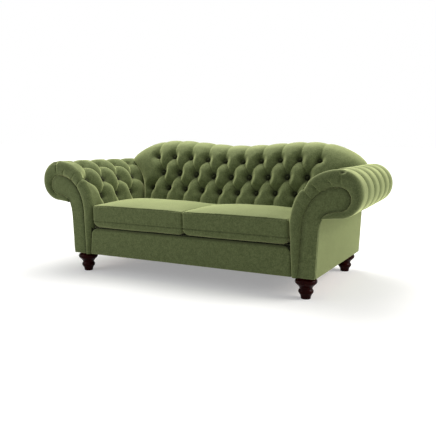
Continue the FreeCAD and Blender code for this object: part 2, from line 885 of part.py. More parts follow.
def cushion_ring(share, inset):
    """One section of the right cushion across the seat: top, back, underside, front."""
    left = cushion_gap / 2 + inset
    right = seat_half_width - cushion_side_gap - inset
    x = mix(left, right, share)
    rear = back_foot_y - cushion_back_gap - inset
    front = front_y + cushion_front_set_back + inset
    front += cushion_draw_in * math.sin(math.pi * share)
    fullness = max(cushion_end_fullness_share, (1 - (2 * share - 1) ** 4) ** 0.5)
    low = back_foot_z + cushion_bottom_crown + inset
    high = low + cushion_side_height - 2 * inset
    middle = (front + rear) / 2
    side_x = x
    if share in (0, 1):
        side_x += cushion_draw_in * (1 - 2 * share)
    bulge = cushion_face_bulge * (fullness - cushion_end_fullness_share)
    top = along(Vector(x, front, high),
                Vector(side_x, middle, high + cushion_top_crown * fullness),
                Vector(x, rear, high), crown_chords)
    under = cushion_underside(x, side_x, rear, front, low, cushion_bottom_crown * fullness)
    return top + under + [Vector(x, front - bulge, (low + high) / 2)]


def cushion(inset):
    rings = [cushion_ring(share, inset) for share in cushion_section_shares]
    faces = skin(rings, True)
    for ring in (rings[0], rings[-1]):
        top, under = ring[:crown_chords + 1], ring[crown_chords + 1:-1]
        faces += skin([top, under[::-1]], False)
        faces += patch(ring[-1], ring[-1], top[0], under[-1])
    return solid_from(faces)


def cushion_cover():
    return cushion(0.0).cut(cushion(cushion_cover_thickness))


# The feet and bolts
def leg_places():
    """Where the two feet of the right arm meet the base."""
    x = arm_outer_x - leg_inset
    return [Vector(x, front_y + leg_front_inset, base_z),
            Vector(x, rear_y - leg_rear_inset, base_z)]


def turned_leg(place):
    """A turned foot: a round cup on a narrow neck, a bead and a tapered toe."""
    outline = [Vector(0, 0, 0)]
    for radius, share in ((leg_toe_radius, 0.0), (leg_toe_radius + leg_toe_flare, 0.25),
                          (leg_bead_radius, 0.34), (leg_neck_radius, 0.43),
                          (leg_neck_radius + leg_toe_flare, 0.57),
                          (leg_rim_radius - leg_toe_flare, 0.67), (leg_rim_radius, 0.77),
                          (leg_rim_radius, 0.87), (leg_rim_radius - leg_toe_flare, 1.0)):
        outline.append(Vector(radius, 0, share * leg_height))
    outline.append(Vector(0, 0, leg_height))
    leg = Part.Face(Part.makePolygon(outline + outline[:1]))
    leg = leg.revolve(Vector(0, 0, 0), Vector(0, 0, 1), 360)
    hole = rod(Vector(0, 0, leg_height - leg_bolt_grip), Vector(0, 0, 1),
               bolt_radius + bolt_gap, leg_bolt_grip + cut_overrun)
    return leg.cut(hole).translated(Vector(place.x, place.y, 0))


def pair(shape):
    return Part.makeCompound([shape, mirrored(shape)])


def leg_bolts():
    bolts = [rod(p - Vector(0, 0, leg_bolt_grip), Vector(0, 0, 1), bolt_radius, leg_bolt_length)
             for p in leg_places()]
    return pair(Part.makeCompound(bolts))


def export(name, shape):
    shape.exportStep("parts/" + name + ".step")


def export_both(name, shape):
    """A piece on the right side of the sofa, and its mirror image on the left."""
    export(name + "_right", shape)
    export(name + "_left", mirrored(shape))


def inside_back_y(z, x):
    """Where the inside back's surface lies at a height, beside the arm."""
    points = [back_point(n, x, 0.0) for n in range(tail_station)]
    below = max(n for n in range(len(points) - 1) if points[n].z <= z)
    a, b = points[below], points[below + 1]
    return mix(a.y, b.y, (z - a.z) / (b.z - a.z))


def arm_buttons(pad):
    """The buttons of one arm, as far back as the inside back leaves them in view."""
    rows = []
    for station, places in ((2, arm_long_row), (4, arm_short_row), (6, arm_long_row)):
        turn, spread, dent = arm_station_turns[station - 1]
        angle = math.radians(turn)
        outward = Vector(-math.cos(angle), 0, math.sin(angle))
        seen = []
        for y in places:
            base = arm_station_point(station, y, 0.0)
            if y + tuft_seat < inside_back_y(base.z, base.x):
                seen.append(y)
        rows.append(button_row(seen, lambda y, inset: arm_station_point(station, y, inset),
                               dent, outward, pad))
    return Part.makeCompound(rows)


def back_buttons(station, places, pad):
    turn, spread, dent = back_station_shares[station][2:]
    angle = math.radians(turn)
    outward = Vector(0, -math.cos(angle), math.sin(angle))
    return button_row(places, lambda x, inset: back_point(station, x, inset), dent, outward,
                      pad)


def main():
    os.makedirs("parts", exist_ok=True)
    export("front_rail", front_rail())
    export("rear_rail", rear_rail())
    export_both("side_rail", side_rail())
    export("centre_rail", centre_rail())
    export("corner_blocks", corner_blocks())
    export("seat_webbing", seat_webbing())
    export("deck_pad", deck_pad())
    export("deck_cloth", deck_cloth())
    export("front_border", front_border())
    export("dust_cover", dust_cover())

    outer_rib = back_rib(outer_rib_place, side_rail_top_z)
    export_both("back_outer_rib", outer_rib)
    export_both("back_inner_rib", back_rib(inner_rib_place, rail_top_z))
    export("back_top_rail", back_top_rail())
    rail_end = outer_rib_place + rib_thickness / 2
    export("back_middle_rail", box(-rail_end, rail_end, frame_rear_y - timber_thickness,
                                   frame_rear_y, back_rail_z, back_rail_z + arm_rail_height))
    export("back_lining", back_lining())
    back_pad = tufted_back()
    export("back_pad", back_pad)
    for name, station, places in (("lower", 2, long_row), ("middle", 4, short_row),
                                  ("upper", 6, long_row)):
        export("back_buttons_" + name, back_buttons(station, places, back_pad))
    export("outside_back", outside_back())

    export_both("arm_front_board", arm_board(board_y))
    export_both("arm_rear_board", arm_board(rear_board_y))
    export_both("arm_base_rail", arm_base_rail())
    export_both("arm_stay_rail", arm_rail(stay_section))
    export_both("arm_scroll_rail", arm_rail(scroll_section))
    export_both("arm_neck_rail", arm_rail(neck_section))
    export_both("arm_lining", arm_lining())
    arm_pad = tufted_arm()
    export_both("arm_pad", arm_pad)
    export_both("arm_buttons", arm_buttons(arm_pad))
    export_both("arm_front_roll", arm_front_roll())
    export_both("arm_facing", arm_facing())
    export_both("outside_arm", outside_arm())

    export_both("seat_cushion_cover", cushion_cover())
    export_both("seat_cushion_core", cushion(cushion_cover_thickness + fit_gap))

    front_leg, rear_leg = [turned_leg(place) for place in leg_places()]
    export("front_legs", pair(front_leg))
    export("rear_legs", pair(rear_leg))
    export("leg_bolts", leg_bolts())


main()
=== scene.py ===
# Buttoned two-cushion sofa: velvet covers, cushions, buttons and turned feet over the CAD frame
import json
import bmesh
import bpy
import numpy as np
from math import cos, dist, pi, radians, sin, sqrt
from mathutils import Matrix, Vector, noise

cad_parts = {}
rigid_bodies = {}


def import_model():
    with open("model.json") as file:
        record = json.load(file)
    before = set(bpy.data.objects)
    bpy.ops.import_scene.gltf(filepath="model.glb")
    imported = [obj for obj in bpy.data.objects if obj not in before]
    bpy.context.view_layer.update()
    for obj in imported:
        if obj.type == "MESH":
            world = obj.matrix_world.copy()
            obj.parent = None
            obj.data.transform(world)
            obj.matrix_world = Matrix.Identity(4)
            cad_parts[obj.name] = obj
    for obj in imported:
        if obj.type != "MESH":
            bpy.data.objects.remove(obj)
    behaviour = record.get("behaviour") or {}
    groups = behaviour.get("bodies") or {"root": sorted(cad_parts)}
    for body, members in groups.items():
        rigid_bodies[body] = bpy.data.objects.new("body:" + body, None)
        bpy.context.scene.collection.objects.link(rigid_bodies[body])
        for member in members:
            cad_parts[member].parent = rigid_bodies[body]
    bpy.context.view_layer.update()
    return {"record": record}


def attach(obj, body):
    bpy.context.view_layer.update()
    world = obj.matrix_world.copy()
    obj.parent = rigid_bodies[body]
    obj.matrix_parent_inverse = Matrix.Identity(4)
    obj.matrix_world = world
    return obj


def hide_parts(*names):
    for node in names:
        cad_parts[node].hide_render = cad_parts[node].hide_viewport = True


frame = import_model()
scene = bpy.context.scene


# Materials
def linearFromHex(code):
    def channel(text):
        c = int(text, 16) / 255
        return c / 12.92 if c <= 0.04045 else ((c + 0.055) / 1.055) ** 2.4
    return (channel(code[1:3]), channel(code[3:5]), channel(code[5:7]), 1.0)


def emptied(holder):
    holder.use_nodes = True
    holder.node_tree.nodes.clear()
    return holder


def addNode(holder, kind, inputs=None, settings=None, leads=None, stops=None):
    # Inputs take values or sockets, leads say where outputs go, stops are the colours along a ramp
    node = holder.node_tree.nodes.new("ShaderNode" + kind)
    for name, value in (settings or {}).items():
        setattr(node, name, value)
    for name, value in (inputs or {}).items():
        if isinstance(value, bpy.types.NodeSocket):
            holder.node_tree.links.new(value, node.inputs[name])
        else:
            node.inputs[name].default_value = value
    for name, target in (leads or {}).items():
        holder.node_tree.links.new(node.outputs[name], target)
    if stops:
        marks = node.color_ramp.elements
        marks[0].position, marks[1].position = stops[0][0], stops[-1][0]
        for position, code in stops[1:-1]:
            marks.new(position)
        for mark, (position, code) in zip(marks, stops):
            mark.color = linearFromHex(code)
    return node


def startMaterial(name, roughness, extra=None):
    material = emptied(bpy.data.materials.new(name))
    surface = addNode(material, "OutputMaterial").inputs["Surface"]
    shader = addNode(material, "BsdfPrincipled", {"Roughness": roughness, **(extra or {})},
                     leads={"BSDF": surface})
    place = addNode(material, "TexCoord").outputs["Object"]
    return material, shader, place


def patterned(material, shader, pattern, stops, strength=0.0, distance=0.0):
    # One pattern colours the surface and, where it has a strength, raises it
    addNode(material, "ValToRGB", {"Fac": pattern}, leads={"Color": shader.inputs["Base Color"]}, stops=stops)
    if strength:
        addNode(material, "Bump", {"Strength": strength, "Distance": distance, "Height": pattern},
                leads={"Normal": shader.inputs["Normal"]})
    return material


velvetLook = {
    "dark": "#4a5431", "mid": "#58623e", "light": "#677149",
    # The first colour on the next line is painted shade, mixed in where folds, pits and gaps lie in shade
    "shadeColour": "#161a0b", "sheenTint": "#eef8b4", "sheen": 1.0, "sheenRoughness": 0.45,
    "napPatch": 0.028,      # brushed patches of pile, about 28 mm across
    "pileClump": 0.008,     # clumps of pile 8 mm wide, coarser than real so that they show
    "pileTip": 0.0012,
    "clumpShare": 0.66,     # how much of the mottling comes from the clumps
    "shadeFrom": 0.48, "shadeOver": 0.42, "shadeMost": 0.95,  # shares of a fold's depth, and its darkest
    "shadeMaterialAbove": 0.74,      # the painted shade past which a face takes the dark, nearly sheenless painted-shade velvet
}


def velvet(name, look):
    # Cut pile velvet: matt body, pale sheen where the pile is seen from its side
    material, shader, place = startMaterial(name, 0.85, {
        "Sheen Weight": look["sheen"], "Sheen Roughness": look["sheenRoughness"],
        "Sheen Tint": linearFromHex(look["sheenTint"]), "Specular IOR Level": 0.15})
    patch = addNode(material, "TexNoise", {
        "Vector": place, "Scale": 1 / look["napPatch"], "Detail": 3.0, "Roughness": 0.6})
    clump = addNode(material, "TexNoise", {
        "Vector": place, "Scale": 1 / look["pileClump"], "Detail": 2.0, "Roughness": 0.7})
    both = addNode(material, "Mix", {
        0: look["clumpShare"], 2: patch.outputs["Fac"], 3: clump.outputs["Fac"]}, {"data_type": "FLOAT"})
    pile = addNode(material, "ValToRGB", {"Fac": both.outputs[0]}, stops=[
        (0.36, look["dark"]), (0.5, look["mid"]), (0.655, look["light"])])
    # The attribute below holds painted shade, set point by point by shadeFolds
    fold = addNode(material, "Attribute", None, {"attribute_name": "shadePaint"})
    addNode(material, "Mix", {  # painted shade: darker towards the shade colour in folds, pits and gaps
        0: fold.outputs["Fac"], 6: pile.outputs["Color"], 7: linearFromHex(look["shadeColour"])},
        {"data_type": "RGBA"}, {2: shader.inputs["Base Color"]})
    tip = addNode(material, "TexNoise", {"Vector": place, "Scale": 1 / look["pileTip"], "Detail": 2.0})
    height = addNode(material, "Mix", {
        0: 0.5, 2: clump.outputs["Fac"], 3: tip.outputs["Fac"]}, {"data_type": "FLOAT"})
    addNode(material, "Bump", {"Strength": 0.35, "Distance": 0.0009, "Height": height.outputs[0]},
            leads={"Normal": shader.inputs["Normal"]})
    return material


mahoganyLook = {"dark": "#1a0202", "light": "#2c0603", "grain": 0.006, "gloss": 0.2}


def grainOf(material, place, scale, ringWidth, settings):
    # Growth rings drawn out along the timber
    stretched = addNode(material, "Mapping", {"Vector": place, "Scale": scale}).outputs["Vector"]
    settings = {"Vector": stretched, "Scale": 1 / ringWidth, **settings}
    return addNode(material, "TexNoise", settings).outputs["Fac"]


def polishedMahogany(name, look):
    # Mahogany turned on a lathe, stained near black and French polished: deep red, sharp gloss
    material, shader, place = startMaterial(name, look["gloss"], {"IOR": 1.5, "Specular IOR Level": 0.04})
    grain = grainOf(material, place, (1.0, 1.0, 0.12), look["grain"], {"Detail": 6.0, "Distortion": 0.6})
    return patterned(material, shader, grain, [(0.35, look["dark"]), (0.7, look["light"])], 0.12, 0.0003)


def sawnTimber(name, dark, light, ringWidth, along):
    # Planed or sawn frame timber, dull, its grain along one axis
    material, shader, place = startMaterial(name, 0.62)
    scale = [0.06 if n == along else 1.0 for n in range(3)]
    grain = grainOf(material, place, scale, ringWidth, {"Detail": 5.0, "Roughness": 0.6, "Distortion": 0.8})
    return patterned(material, shader, grain, [(0.32, dark), (0.68, light)], 0.3, 0.0006)


def wovenCloth(name, dark, light, thread, roughness):
    # Plain weave: crossing sets of threads, their spacing in metres
    material, shader, place = startMaterial(name, roughness)
    waves = [addNode(material, "TexWave", {
        "Vector": place, "Scale": 1 / (thread * 2 * pi), "Distortion": 0.4, "Detail": 1.0},
        {"wave_type": "BANDS", "bands_direction": direction}).outputs["Fac"] for direction in "XYZ"]
    first = addNode(material, "Math", {0: waves[0], 1: waves[1]}, {"operation": "MAXIMUM"})
    weave = addNode(material, "Math", {0: first.outputs[0], 1: waves[2]}, {"operation": "MULTIPLY"})
    return patterned(material, shader, weave.outputs[0], [(0.1, dark), (0.8, light)], 0.4, thread / 4)


def openCellFoam(name):
    # Cut polyurethane foam: pale, matt, full of small open cells
    material, shader, place = startMaterial(name, 0.95)
    cells = addNode(material, "TexVoronoi", {"Vector": place, "Scale": 1 / 0.002})
    return patterned(material, shader, cells.outputs["Distance"], [
        (0.1, "#d9cf9f"), (0.7, "#f0e9c6")], 0.5, 0.0005)


def zincPlatedSteel(name):
    # Rolled bolt with a thin zinc coat: light grey metal, faintly blotched
    material, shader, place = startMaterial(name, 0.32, {"Metallic": 1.0})
    blotch = addNode(material, "TexNoise", {"Vector": place, "Scale": 1 / 0.004, "Detail": 3.0})
    return patterned(material, shader, blotch.outputs["Fac"], [(0.35, "#a9adb0"), (0.7, "#c9cccd")])


print("materials")
coverVelvet = velvet("cutPileVelvet", velvetLook)
# A dark, nearly sheenless copy of the velvet: painted shade for the faces deepest in shade
paintedShadeVelvet = velvet("paintedShadeVelvet", {
    **velvetLook, "dark": "#181c0c", "mid": "#1e2310", "light": "#252b14", "sheen": 0.1})
# The buttons' velvet, made dark and nearly sheenless: painted shade of the pits they sit in
shadedButtonVelvet = velvet("shadedButtonVelvet", {
    **velvetLook, "dark": "#1c200e", "mid": "#232812", "light": "#2a3018", "sheen": 0.12})
slotLooks = {
    "velvet": coverVelvet,
    "button_velvet": shadedButtonVelvet,
    "mahogany": polishedMahogany("polishedMahogany", mahoganyLook),
    "beech": sawnTimber("planedBeech", "#a97c4e", "#cfa674", 0.009, 1),
    "plywood": sawnTimber("birchPlywood", "#b08d5c", "#d3b483", 0.012, 2),
    "hessian": wovenCloth("juteHessian", "#6d5635", "#a98a59", 0.0025, 0.9),
    "webbing": wovenCloth("elasticWebbing", "#15140f", "#3a372c", 0.003, 0.8),
    "platform_cloth": wovenCloth("cottonPlatformCloth", "#333a1e", "#535c31", 0.0012, 0.9),
    "bottom_cloth": wovenCloth("spunBottomCloth", "#0c0c0c", "#232323", 0.0015, 0.85),
    "foam": openCellFoam("polyurethaneFoam"),
    "zinc_steel": zincPlatedSteel("zincPlatedSteel"),
}
for part in frame["record"]["subparts"]:
    node, look = bpy.data.objects[part["node"]], slotLooks[part["material_slot"]]
    for holder in node.material_slots:
        holder.material = look
    if not node.material_slots:
        node.data.materials.append(look)


# Shape of the covered sofa, in metres
sofa = {
    "front": -0.490, "depth": 0.980, "base": 0.130, "boardY": -0.458, "padFront": -0.4577,
    "padRear": 0.4777, "seatHalf": 0.711, "footStep": 0.022, "armOuter": 0.874, "waistRise": 0.300,
    "armRise": 0.633, "scrollReach": 0.289, "scrollRadius": 0.138, "drawIn": 0.043,
    "rearDrop": 0.016, "rearShrink": 0.005, "underTurn": 268.0, "underRise": 0.348,
    "underStep": 0.034, "neckRise": 0.270, "neckStep": 0.013, "padRise": 0.172,
    "humpRise": 0.762, "humpDip": 0.032, "humpHalf": 0.545, "shoulder": 0.395, "shoulderDrop": 0.197,
    "backFootY": 0.085, "backFootZ": 0.3153, "backDepth": 0.405, "rearFall": 0.048, "armGap": 0.001,
}
waistZ = sofa["base"] + sofa["waistRise"]


def planShare(y):
    return (y - sofa["front"]) / sofa["depth"]


def scrollAt(y):
    share = planShare(y)
    radius = sofa["scrollRadius"] - sofa["rearShrink"] * share
    x = sofa["seatHalf"] + sofa["scrollReach"] - sofa["drawIn"] * share
    return x, sofa["base"] + sofa["armRise"] - sofa["rearDrop"] * share, radius


def armPoint(turn, y, inset):
    # On the arm's cover: turn 0 at the waist, 90 on top, then round the scroll and in under it
    x, top, radius = scrollAt(y)
    angle = radians(turn)
    if turn <= 90:
        return Vector((x - (x - sofa["seatHalf"] - inset) * cos(angle), y,
                       waistZ + (top - waistZ - inset) * sin(angle)))
    reach = radius - inset
    return Vector((x - reach * cos(angle), y, top - radius + reach * sin(angle)))


def innerArmX(z, y):
    if z <= waistZ:
        return sofa["seatHalf"] + sofa["footStep"] * (waistZ - z) / sofa["waistRise"]
    x, top, radius = scrollAt(y)
    height = min(1.0, (z - waistZ) / (top - waistZ))
    return x - (x - sofa["seatHalf"]) * sqrt(1 - height * height)


def underPoint(y, inset=0.0):
    return Vector((sofa["armOuter"] + sofa["underStep"] - sofa["drawIn"] * planShare(y) / 2, y,
                   sofa["base"] + sofa["underRise"] + inset))


def armRowPoint(row, y, inset):
    kind, value = row
    if kind == "turn":
        return armPoint(value, y, inset)
    if kind == "foot":
        return Vector((innerArmX(value, y) + inset, y, value))
    start, end = armPoint(sofa["underTurn"], y, inset), underPoint(y, inset)
    return start.lerp(end, value)


def backTop(x):
    x = abs(x)
    top = sofa["base"] + sofa["humpRise"]
    if x <= sofa["humpHalf"]:
        return top - sofa["humpDip"] * (1 + cos(pi * x / sofa["humpHalf"])) / 2
    out = min(1.0, (x - sofa["humpHalf"]) / sofa["shoulder"])
    return top - sofa["shoulderDrop"] * (1 - sqrt(1 - out * out))


# Sections of the back from the seat over the top: (rise share, depth share, turn of the surface)
backSections = [
    (0.0, 0.0, 0.0), (0.22, 0.047, 9.0), (0.42, 0.126, 20.0), (0.5185, 0.177, 21.0),
    (0.617, 0.228, 21.0), (0.7225, 0.285, 23.0), (0.828, 0.356, 29.0), (0.908, 0.446, 42.0),
    (0.965, 0.56, 62.0), (1.0, 0.75, 90.0), (0.985, 0.9, 115.0)]


def sectionAt(v):
    # A smooth line through the sections, v counts them
    n = max(0, min(len(backSections) - 2, int(v)))
    t = v - n
    p = [backSections[max(0, min(len(backSections) - 1, n + k))] for k in (-1, 0, 1, 2)]
    return [0.5 * (2 * b + (c - a) * t + (2 * a - 5 * b + 4 * c - d) * t * t
                   + (3 * b - a - 3 * c + d) * t ** 3) for a, b, c, d in zip(*p)]


def backPoint(v, x, inset):
    last = len(backSections) - 1
    top = backTop(x)
    tail = Vector((x, sofa["padRear"], top - sofa["rearFall"] - inset))
    if v >= last + 1:
        return tail
    rise, depth, turn = sectionAt(min(v, last))
    angle = radians(turn)
    y = sofa["backFootY"] + depth * sofa["backDepth"]
    z = sofa["backFootZ"] + rise * (top - sofa["backFootZ"])
    point = Vector((x, y + inset * cos(angle), z - inset * sin(angle)))
    return point.lerp(tail, v - last) if v > last else point


def backEnd(v, inset):
    # Where the back meets the arm, to a tenth of a millimetre
    low, high = sofa["seatHalf"] / 2, sofa["humpHalf"] + sofa["shoulder"]
    while high - low > 0.0001:
        x = (low + high) / 2
        place = backPoint(v, x, inset)
        low, high = (x, high) if x < innerArmX(place.z, place.y) - sofa["armGap"] else (low, x)
    return low


# Helpers that the pieces share
def newObject(name, data):
    thing = bpy.data.objects.new(name, data)
    scene.collection.objects.link(thing)
    return thing


def pick(*pieces):
    # These alone are selected, the first of them active
    bpy.ops.object.select_all(action="DESELECT")
    for piece in pieces:
        piece.select_set(True)
        bpy.context.view_layer.objects.active = pieces[0]


def dress(piece, node, body="sofa"):
    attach(piece, body)
    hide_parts(node)


def unit(values):
    return np.clip(values, 0, 1)


def meshPiece(name, side, points, columns, folds=None):
    # A closed piece from rings of points, the left one mirrored
    mesh = bpy.data.meshes.new(name)
    faces = ringFaces(len(points) // columns, columns)
    mesh.from_pydata([(side * p[0], p[1], p[2]) for p in points], [], faces)
    mesh.validate()
    mesh.materials.append(coverVelvet)
    piece = newObject(name, mesh)
    if folds is not None:
        shadeFolds(piece, folds)
    solid = bmesh.new()
    solid.from_mesh(mesh)
    bmesh.ops.recalc_face_normals(solid, faces=solid.faces)
    solid.to_mesh(mesh)
    solid.free()
    pick(piece)
    bpy.ops.object.shade_smooth_by_angle(angle=radians(70))  # the rims, where one cover meets the next
    return piece


def shadeFolds(piece, folds):
    # Painted shade: folds show darker, and the faces deepest in shade take a dark, nearly sheenless copy of
    # the velvet
    mesh = piece.data
    mesh.attributes.new("shadePaint", "FLOAT", "POINT").data.foreach_set("value", folds)
    corners, starts = np.empty(len(mesh.loops), dtype=np.int32), np.empty(len(mesh.polygons), dtype=np.int32)
    mesh.loops.foreach_get("vertex_index", corners)
    mesh.polygons.foreach_get("loop_start", starts)
    deep = np.minimum.reduceat(np.asarray(folds)[corners], starts) > velvetLook["shadeMaterialAbove"]
    if deep.any():
        mesh.materials.append(paintedShadeVelvet)
        mesh.polygons.foreach_set("material_index", deep.astype(np.int32))


def ringFaces(rings, columns):
    faces = []
    for r in range(rings - 1):
        for c in range(columns):
            d = (c + 1) % columns
            faces.append((r * columns + c, r * columns + d, (r + 1) * columns + d, (r + 1) * columns + c))
    return faces + [tuple(range(columns)), tuple(range((rings - 1) * columns, rings * columns))]


def fromSegment(q, a, b):
    # How far along a segment each point lies, 0 to 1, and how far from it
    t = unit((q - a) @ (b - a) / max(1e-12, (b - a) @ (b - a)))
    return t, np.linalg.norm(q - a - t[:, None] * (b - a), axis=1)


def fromLine(points, line, reach):
    # Distance of each point to a line of places, at most reach
    best = np.full(len(points), reach)
    for a, b in zip(line, line[1:]):
        near = np.all((points > np.minimum(a, b) - reach) & (points < np.maximum(a, b) + reach), axis=1)
        best[near] = np.minimum(best[near], fromSegment(points[near], a, b)[1])
    return best


def pleatDepths(points, pleats, deepest, reach, blunt=0.005):
    # How far each point is drawn in by the pleats near it. A pleat is a list of (place, depth)
    free = np.ones(len(points))
    for pleat in pleats:
        line = np.array([p for p, d in pleat])
        near = np.all((points > line.min(0) - reach) & (points < line.max(0) + reach), axis=1)
        q = points[near]
        best, drawn = np.full(len(q), 1e9), np.zeros(len(q))
        for (a, da), (b, db) in zip(pleat, pleat[1:]):
            t, away = fromSegment(q, np.array(a), np.array(b))
            closer = away < best
            best[closer] = away[closer]
            drawn[closer] = (da + (db - da) * t)[closer]
        share = unit((np.sqrt(best ** 2 + blunt ** 2) - blunt) / reach)
        crease = 0.5 * (1 - np.sqrt(1 - (1 - share) ** 2)) + 0.5 * (1 - share) ** 2
        free[near] *= 1 - unit(drawn / deepest * crease)
    return deepest * (1 - free)


def foldShades(inset, deepest):
    # Painted shade for a fold: nothing on the puffs, most at the bottom of a pit
    look = velvetLook
    return unit((inset / deepest - look["shadeFrom"]) / look["shadeOver"]) ** 1.8 * look["shadeMost"]


def pitShares(points, places, reach):
    # How far each point is drawn in by the buttons near it, 1 at a button
    share = np.zeros(len(points))
    for place in places:
        away = np.linalg.norm(points - np.array(place), axis=1)
        share = np.maximum(share, unit(1 - away / reach) ** 1.25)
    return share


def pleatLine(surface, start, end, depths, bow=0.0, count=10):
    # A pleat across a surface from (u, v) to (u, v), with its depth at shares along it
    line = []
    for n in range(count + 1):
        t = n / count
        u = start[0] + (end[0] - start[0]) * t + bow * sin(pi * t)
        v = start[1] + (end[1] - start[1]) * t
        line.append((surface(v, u, 0.0), np.interp(t, *zip(*depths))))
    return line


def buttonToButton(deep, mid):
    return [(0, deep), (0.25, mid * 1.2), (0.5, mid), (0.75, mid * 1.2), (1, deep)]


def lumpy(points, size, height, seed):
    shift = Vector((seed * 3.7, seed * 1.3, seed * 2.9))
    return np.array([noise.noise(Vector(p) / size + shift) for p in points]) * height


print("inside back")
back = {
    "columns": 400, "rearColumns": 24, "rows": 220, "deepest": 0.048, "midPleat": 0.031,
    "reach": 0.062, "pitch": 0.1437, "lowRow": 2.0, "midRow": 4.0, "topRow": 6.0,
    "thickness": 0.062, "pit": 0.056, "pitReach": 0.032, "bow": 0.006, "fanOut": 1.02,
    "down": [(0.2, 0.034), (1, 0.020)],
    "over": [(0.12, 0.030), (0.3, 0.017), (0.5, 0.009), (1, 0.005)],
    "endDents": [0.7, 0.8, 0.9, 0.85, 0.75, 0.6, 0.45, 0.25, 0.1, 0.0, 0.0, 0.0]}
longRow = [back["pitch"] * (n - 4.5) for n in range(10)]
shortRow = [(a + b) / 2 for a, b in zip(longRow, longRow[1:])]
backRows = ((back["lowRow"], longRow), (back["midRow"], shortRow), (back["topRow"], longRow))


def rimDent(v):
    return back["deepest"] * float(np.interp(v, range(12), back["endDents"]))


def backPleats():
    deep, low, top = back["deepest"], back["lowRow"], back["topRow"]
    between = buttonToButton(deep, back["midPleat"])
    pleats = []
    for row in (low, top):
        for x in longRow:
            for side in (-1, 1):
                x2 = x + side * back["pitch"] / 2
                if abs(x2) < abs(shortRow[0]) + 0.01:
                    pleats.append(pleatLine(backPoint, (x, row), (x2, back["midRow"]), between,
                                            side * back["bow"]))
    for x in longRow:
        pleats.append(pleatLine(backPoint, (x, low), (x, 0.0), [(0, deep)] + back["down"]))
        pleats.append(pleatLine(backPoint, (x, top), (x * back["fanOut"], len(backSections)),
                                [(0, deep)] + back["over"], 0.0, 24))
    for side in (-1, 1):  # the cover tucks in beside the arm
        pleats.append([(backPoint(v, side * backEnd(v, rimDent(v)), 0.0), rimDent(v))
                       for v in (n / 4 for n in range(45))])
    return pleats


def insideBack():
    columns, rows, rear = back["columns"], back["rows"], back["rearColumns"]
    vs = np.linspace(0, len(backSections), rows)
    ends = [backEnd(v, rimDent(v)) for v in vs]
    places = [(v, x) for v, end in zip(vs, ends) for x in np.linspace(-end, end, columns)]
    base = np.array([backPoint(v, x, 0.0) for v, x in places])
    inset = pleatDepths(base, backPleats(), back["deepest"], back["reach"])
    seats = [backPoint(v, x, 0.0) for v, row in backRows for x in row]
    inset += (back["pit"] - inset) * pitShares(base, seats, back["pitReach"])
    inset += lumpy(base, 0.09, 0.0015, 1)
    cover = [backPoint(v, x, dent) for (v, x), dent in zip(places, inset)]
    points = []
    for r, v in enumerate(vs):
        points += cover[r * columns:(r + 1) * columns]
        end = backEnd(v, back["thickness"])
        points += [backPoint(v, x, back["thickness"]) for x in np.linspace(end, -end, rear)]
    folds = np.pad(foldShades(inset, back["pit"]).reshape(rows, columns), ((0, 0), (0, rear)))
    dress(meshPiece("tuftedBack", 1, points, columns + rear, folds.ravel()), "back_pad")


insideBack()


print("arms")
arm = {
    "columns": 230, "rearColumns": 12, "deepest": 0.048, "midPleat": 0.034, "reach": 0.072,
    "step": 0.0045, "pit": 0.057, "pitReach": 0.037, "channelReach": 0.055,
    "pitch": 0.175, "firstButton": -0.305, "turns": [17.5, 43.5, 78.0],
    "coveredFrom": [0.2, 0.3, 0.39],  # the back's padding meets each row of the arm's from here on
    "coveredDepth": 0.012, "coveredMid": 0.018, "down": [(0.4, 0.034), (1, 0.028)], "atFoot": 0.018,
    "channel": [(0.06, 0.030), (0.16, 0.021), (0.8, 0.017), (1, 0.010)], "atUnder": 0.006,
    "coveredChannel": [(0.06, 0.010), (0.16, 0.011), (0.32, 0.017), (0.8, 0.017), (1, 0.010)],
    "frontPleats": [(1, 44, 0.030, 0.010), (2, 87, 0.024, 0.0)],  # row, turn at the edge, depths
    "thickness": 0.062, "scrollThickness": 0.031,
    "scrollDent": 0.005, "dentReach": 0.030, "scrollX": 0.98, "scrollOver": 0.05}
armLong = [arm["firstButton"] + arm["pitch"] * n for n in range(5)]
armShort = [y - arm["pitch"] / 2 for y in armLong] + [armLong[-1] + arm["pitch"] / 2]
armLines = list(zip(arm["turns"], (armLong, armShort, armLong)))


def armRows():
    # Places up the inside of the arm, round the scroll and in under it, evenly spaced
    fine = [("foot", sofa["base"] + z) for z in np.linspace(sofa["padRise"], sofa["waistRise"], 60)]
    fine += [("turn", t) for t in np.linspace(0.5, sofa["underTurn"], 700)]
    fine += [("under", t) for t in np.linspace(0.02, 1, 60)]
    spots = [armRowPoint(row, -0.3, 0.0) for row in fine]
    length = np.concatenate([[0], np.cumsum([(b - a).length for a, b in zip(spots, spots[1:])])])
    count = int(length[-1] / arm["step"])
    picks = [int(np.argmin(abs(length - s))) for s in np.linspace(0, length[-1], count)]
    return [fine[n] for n in sorted(set(picks))]


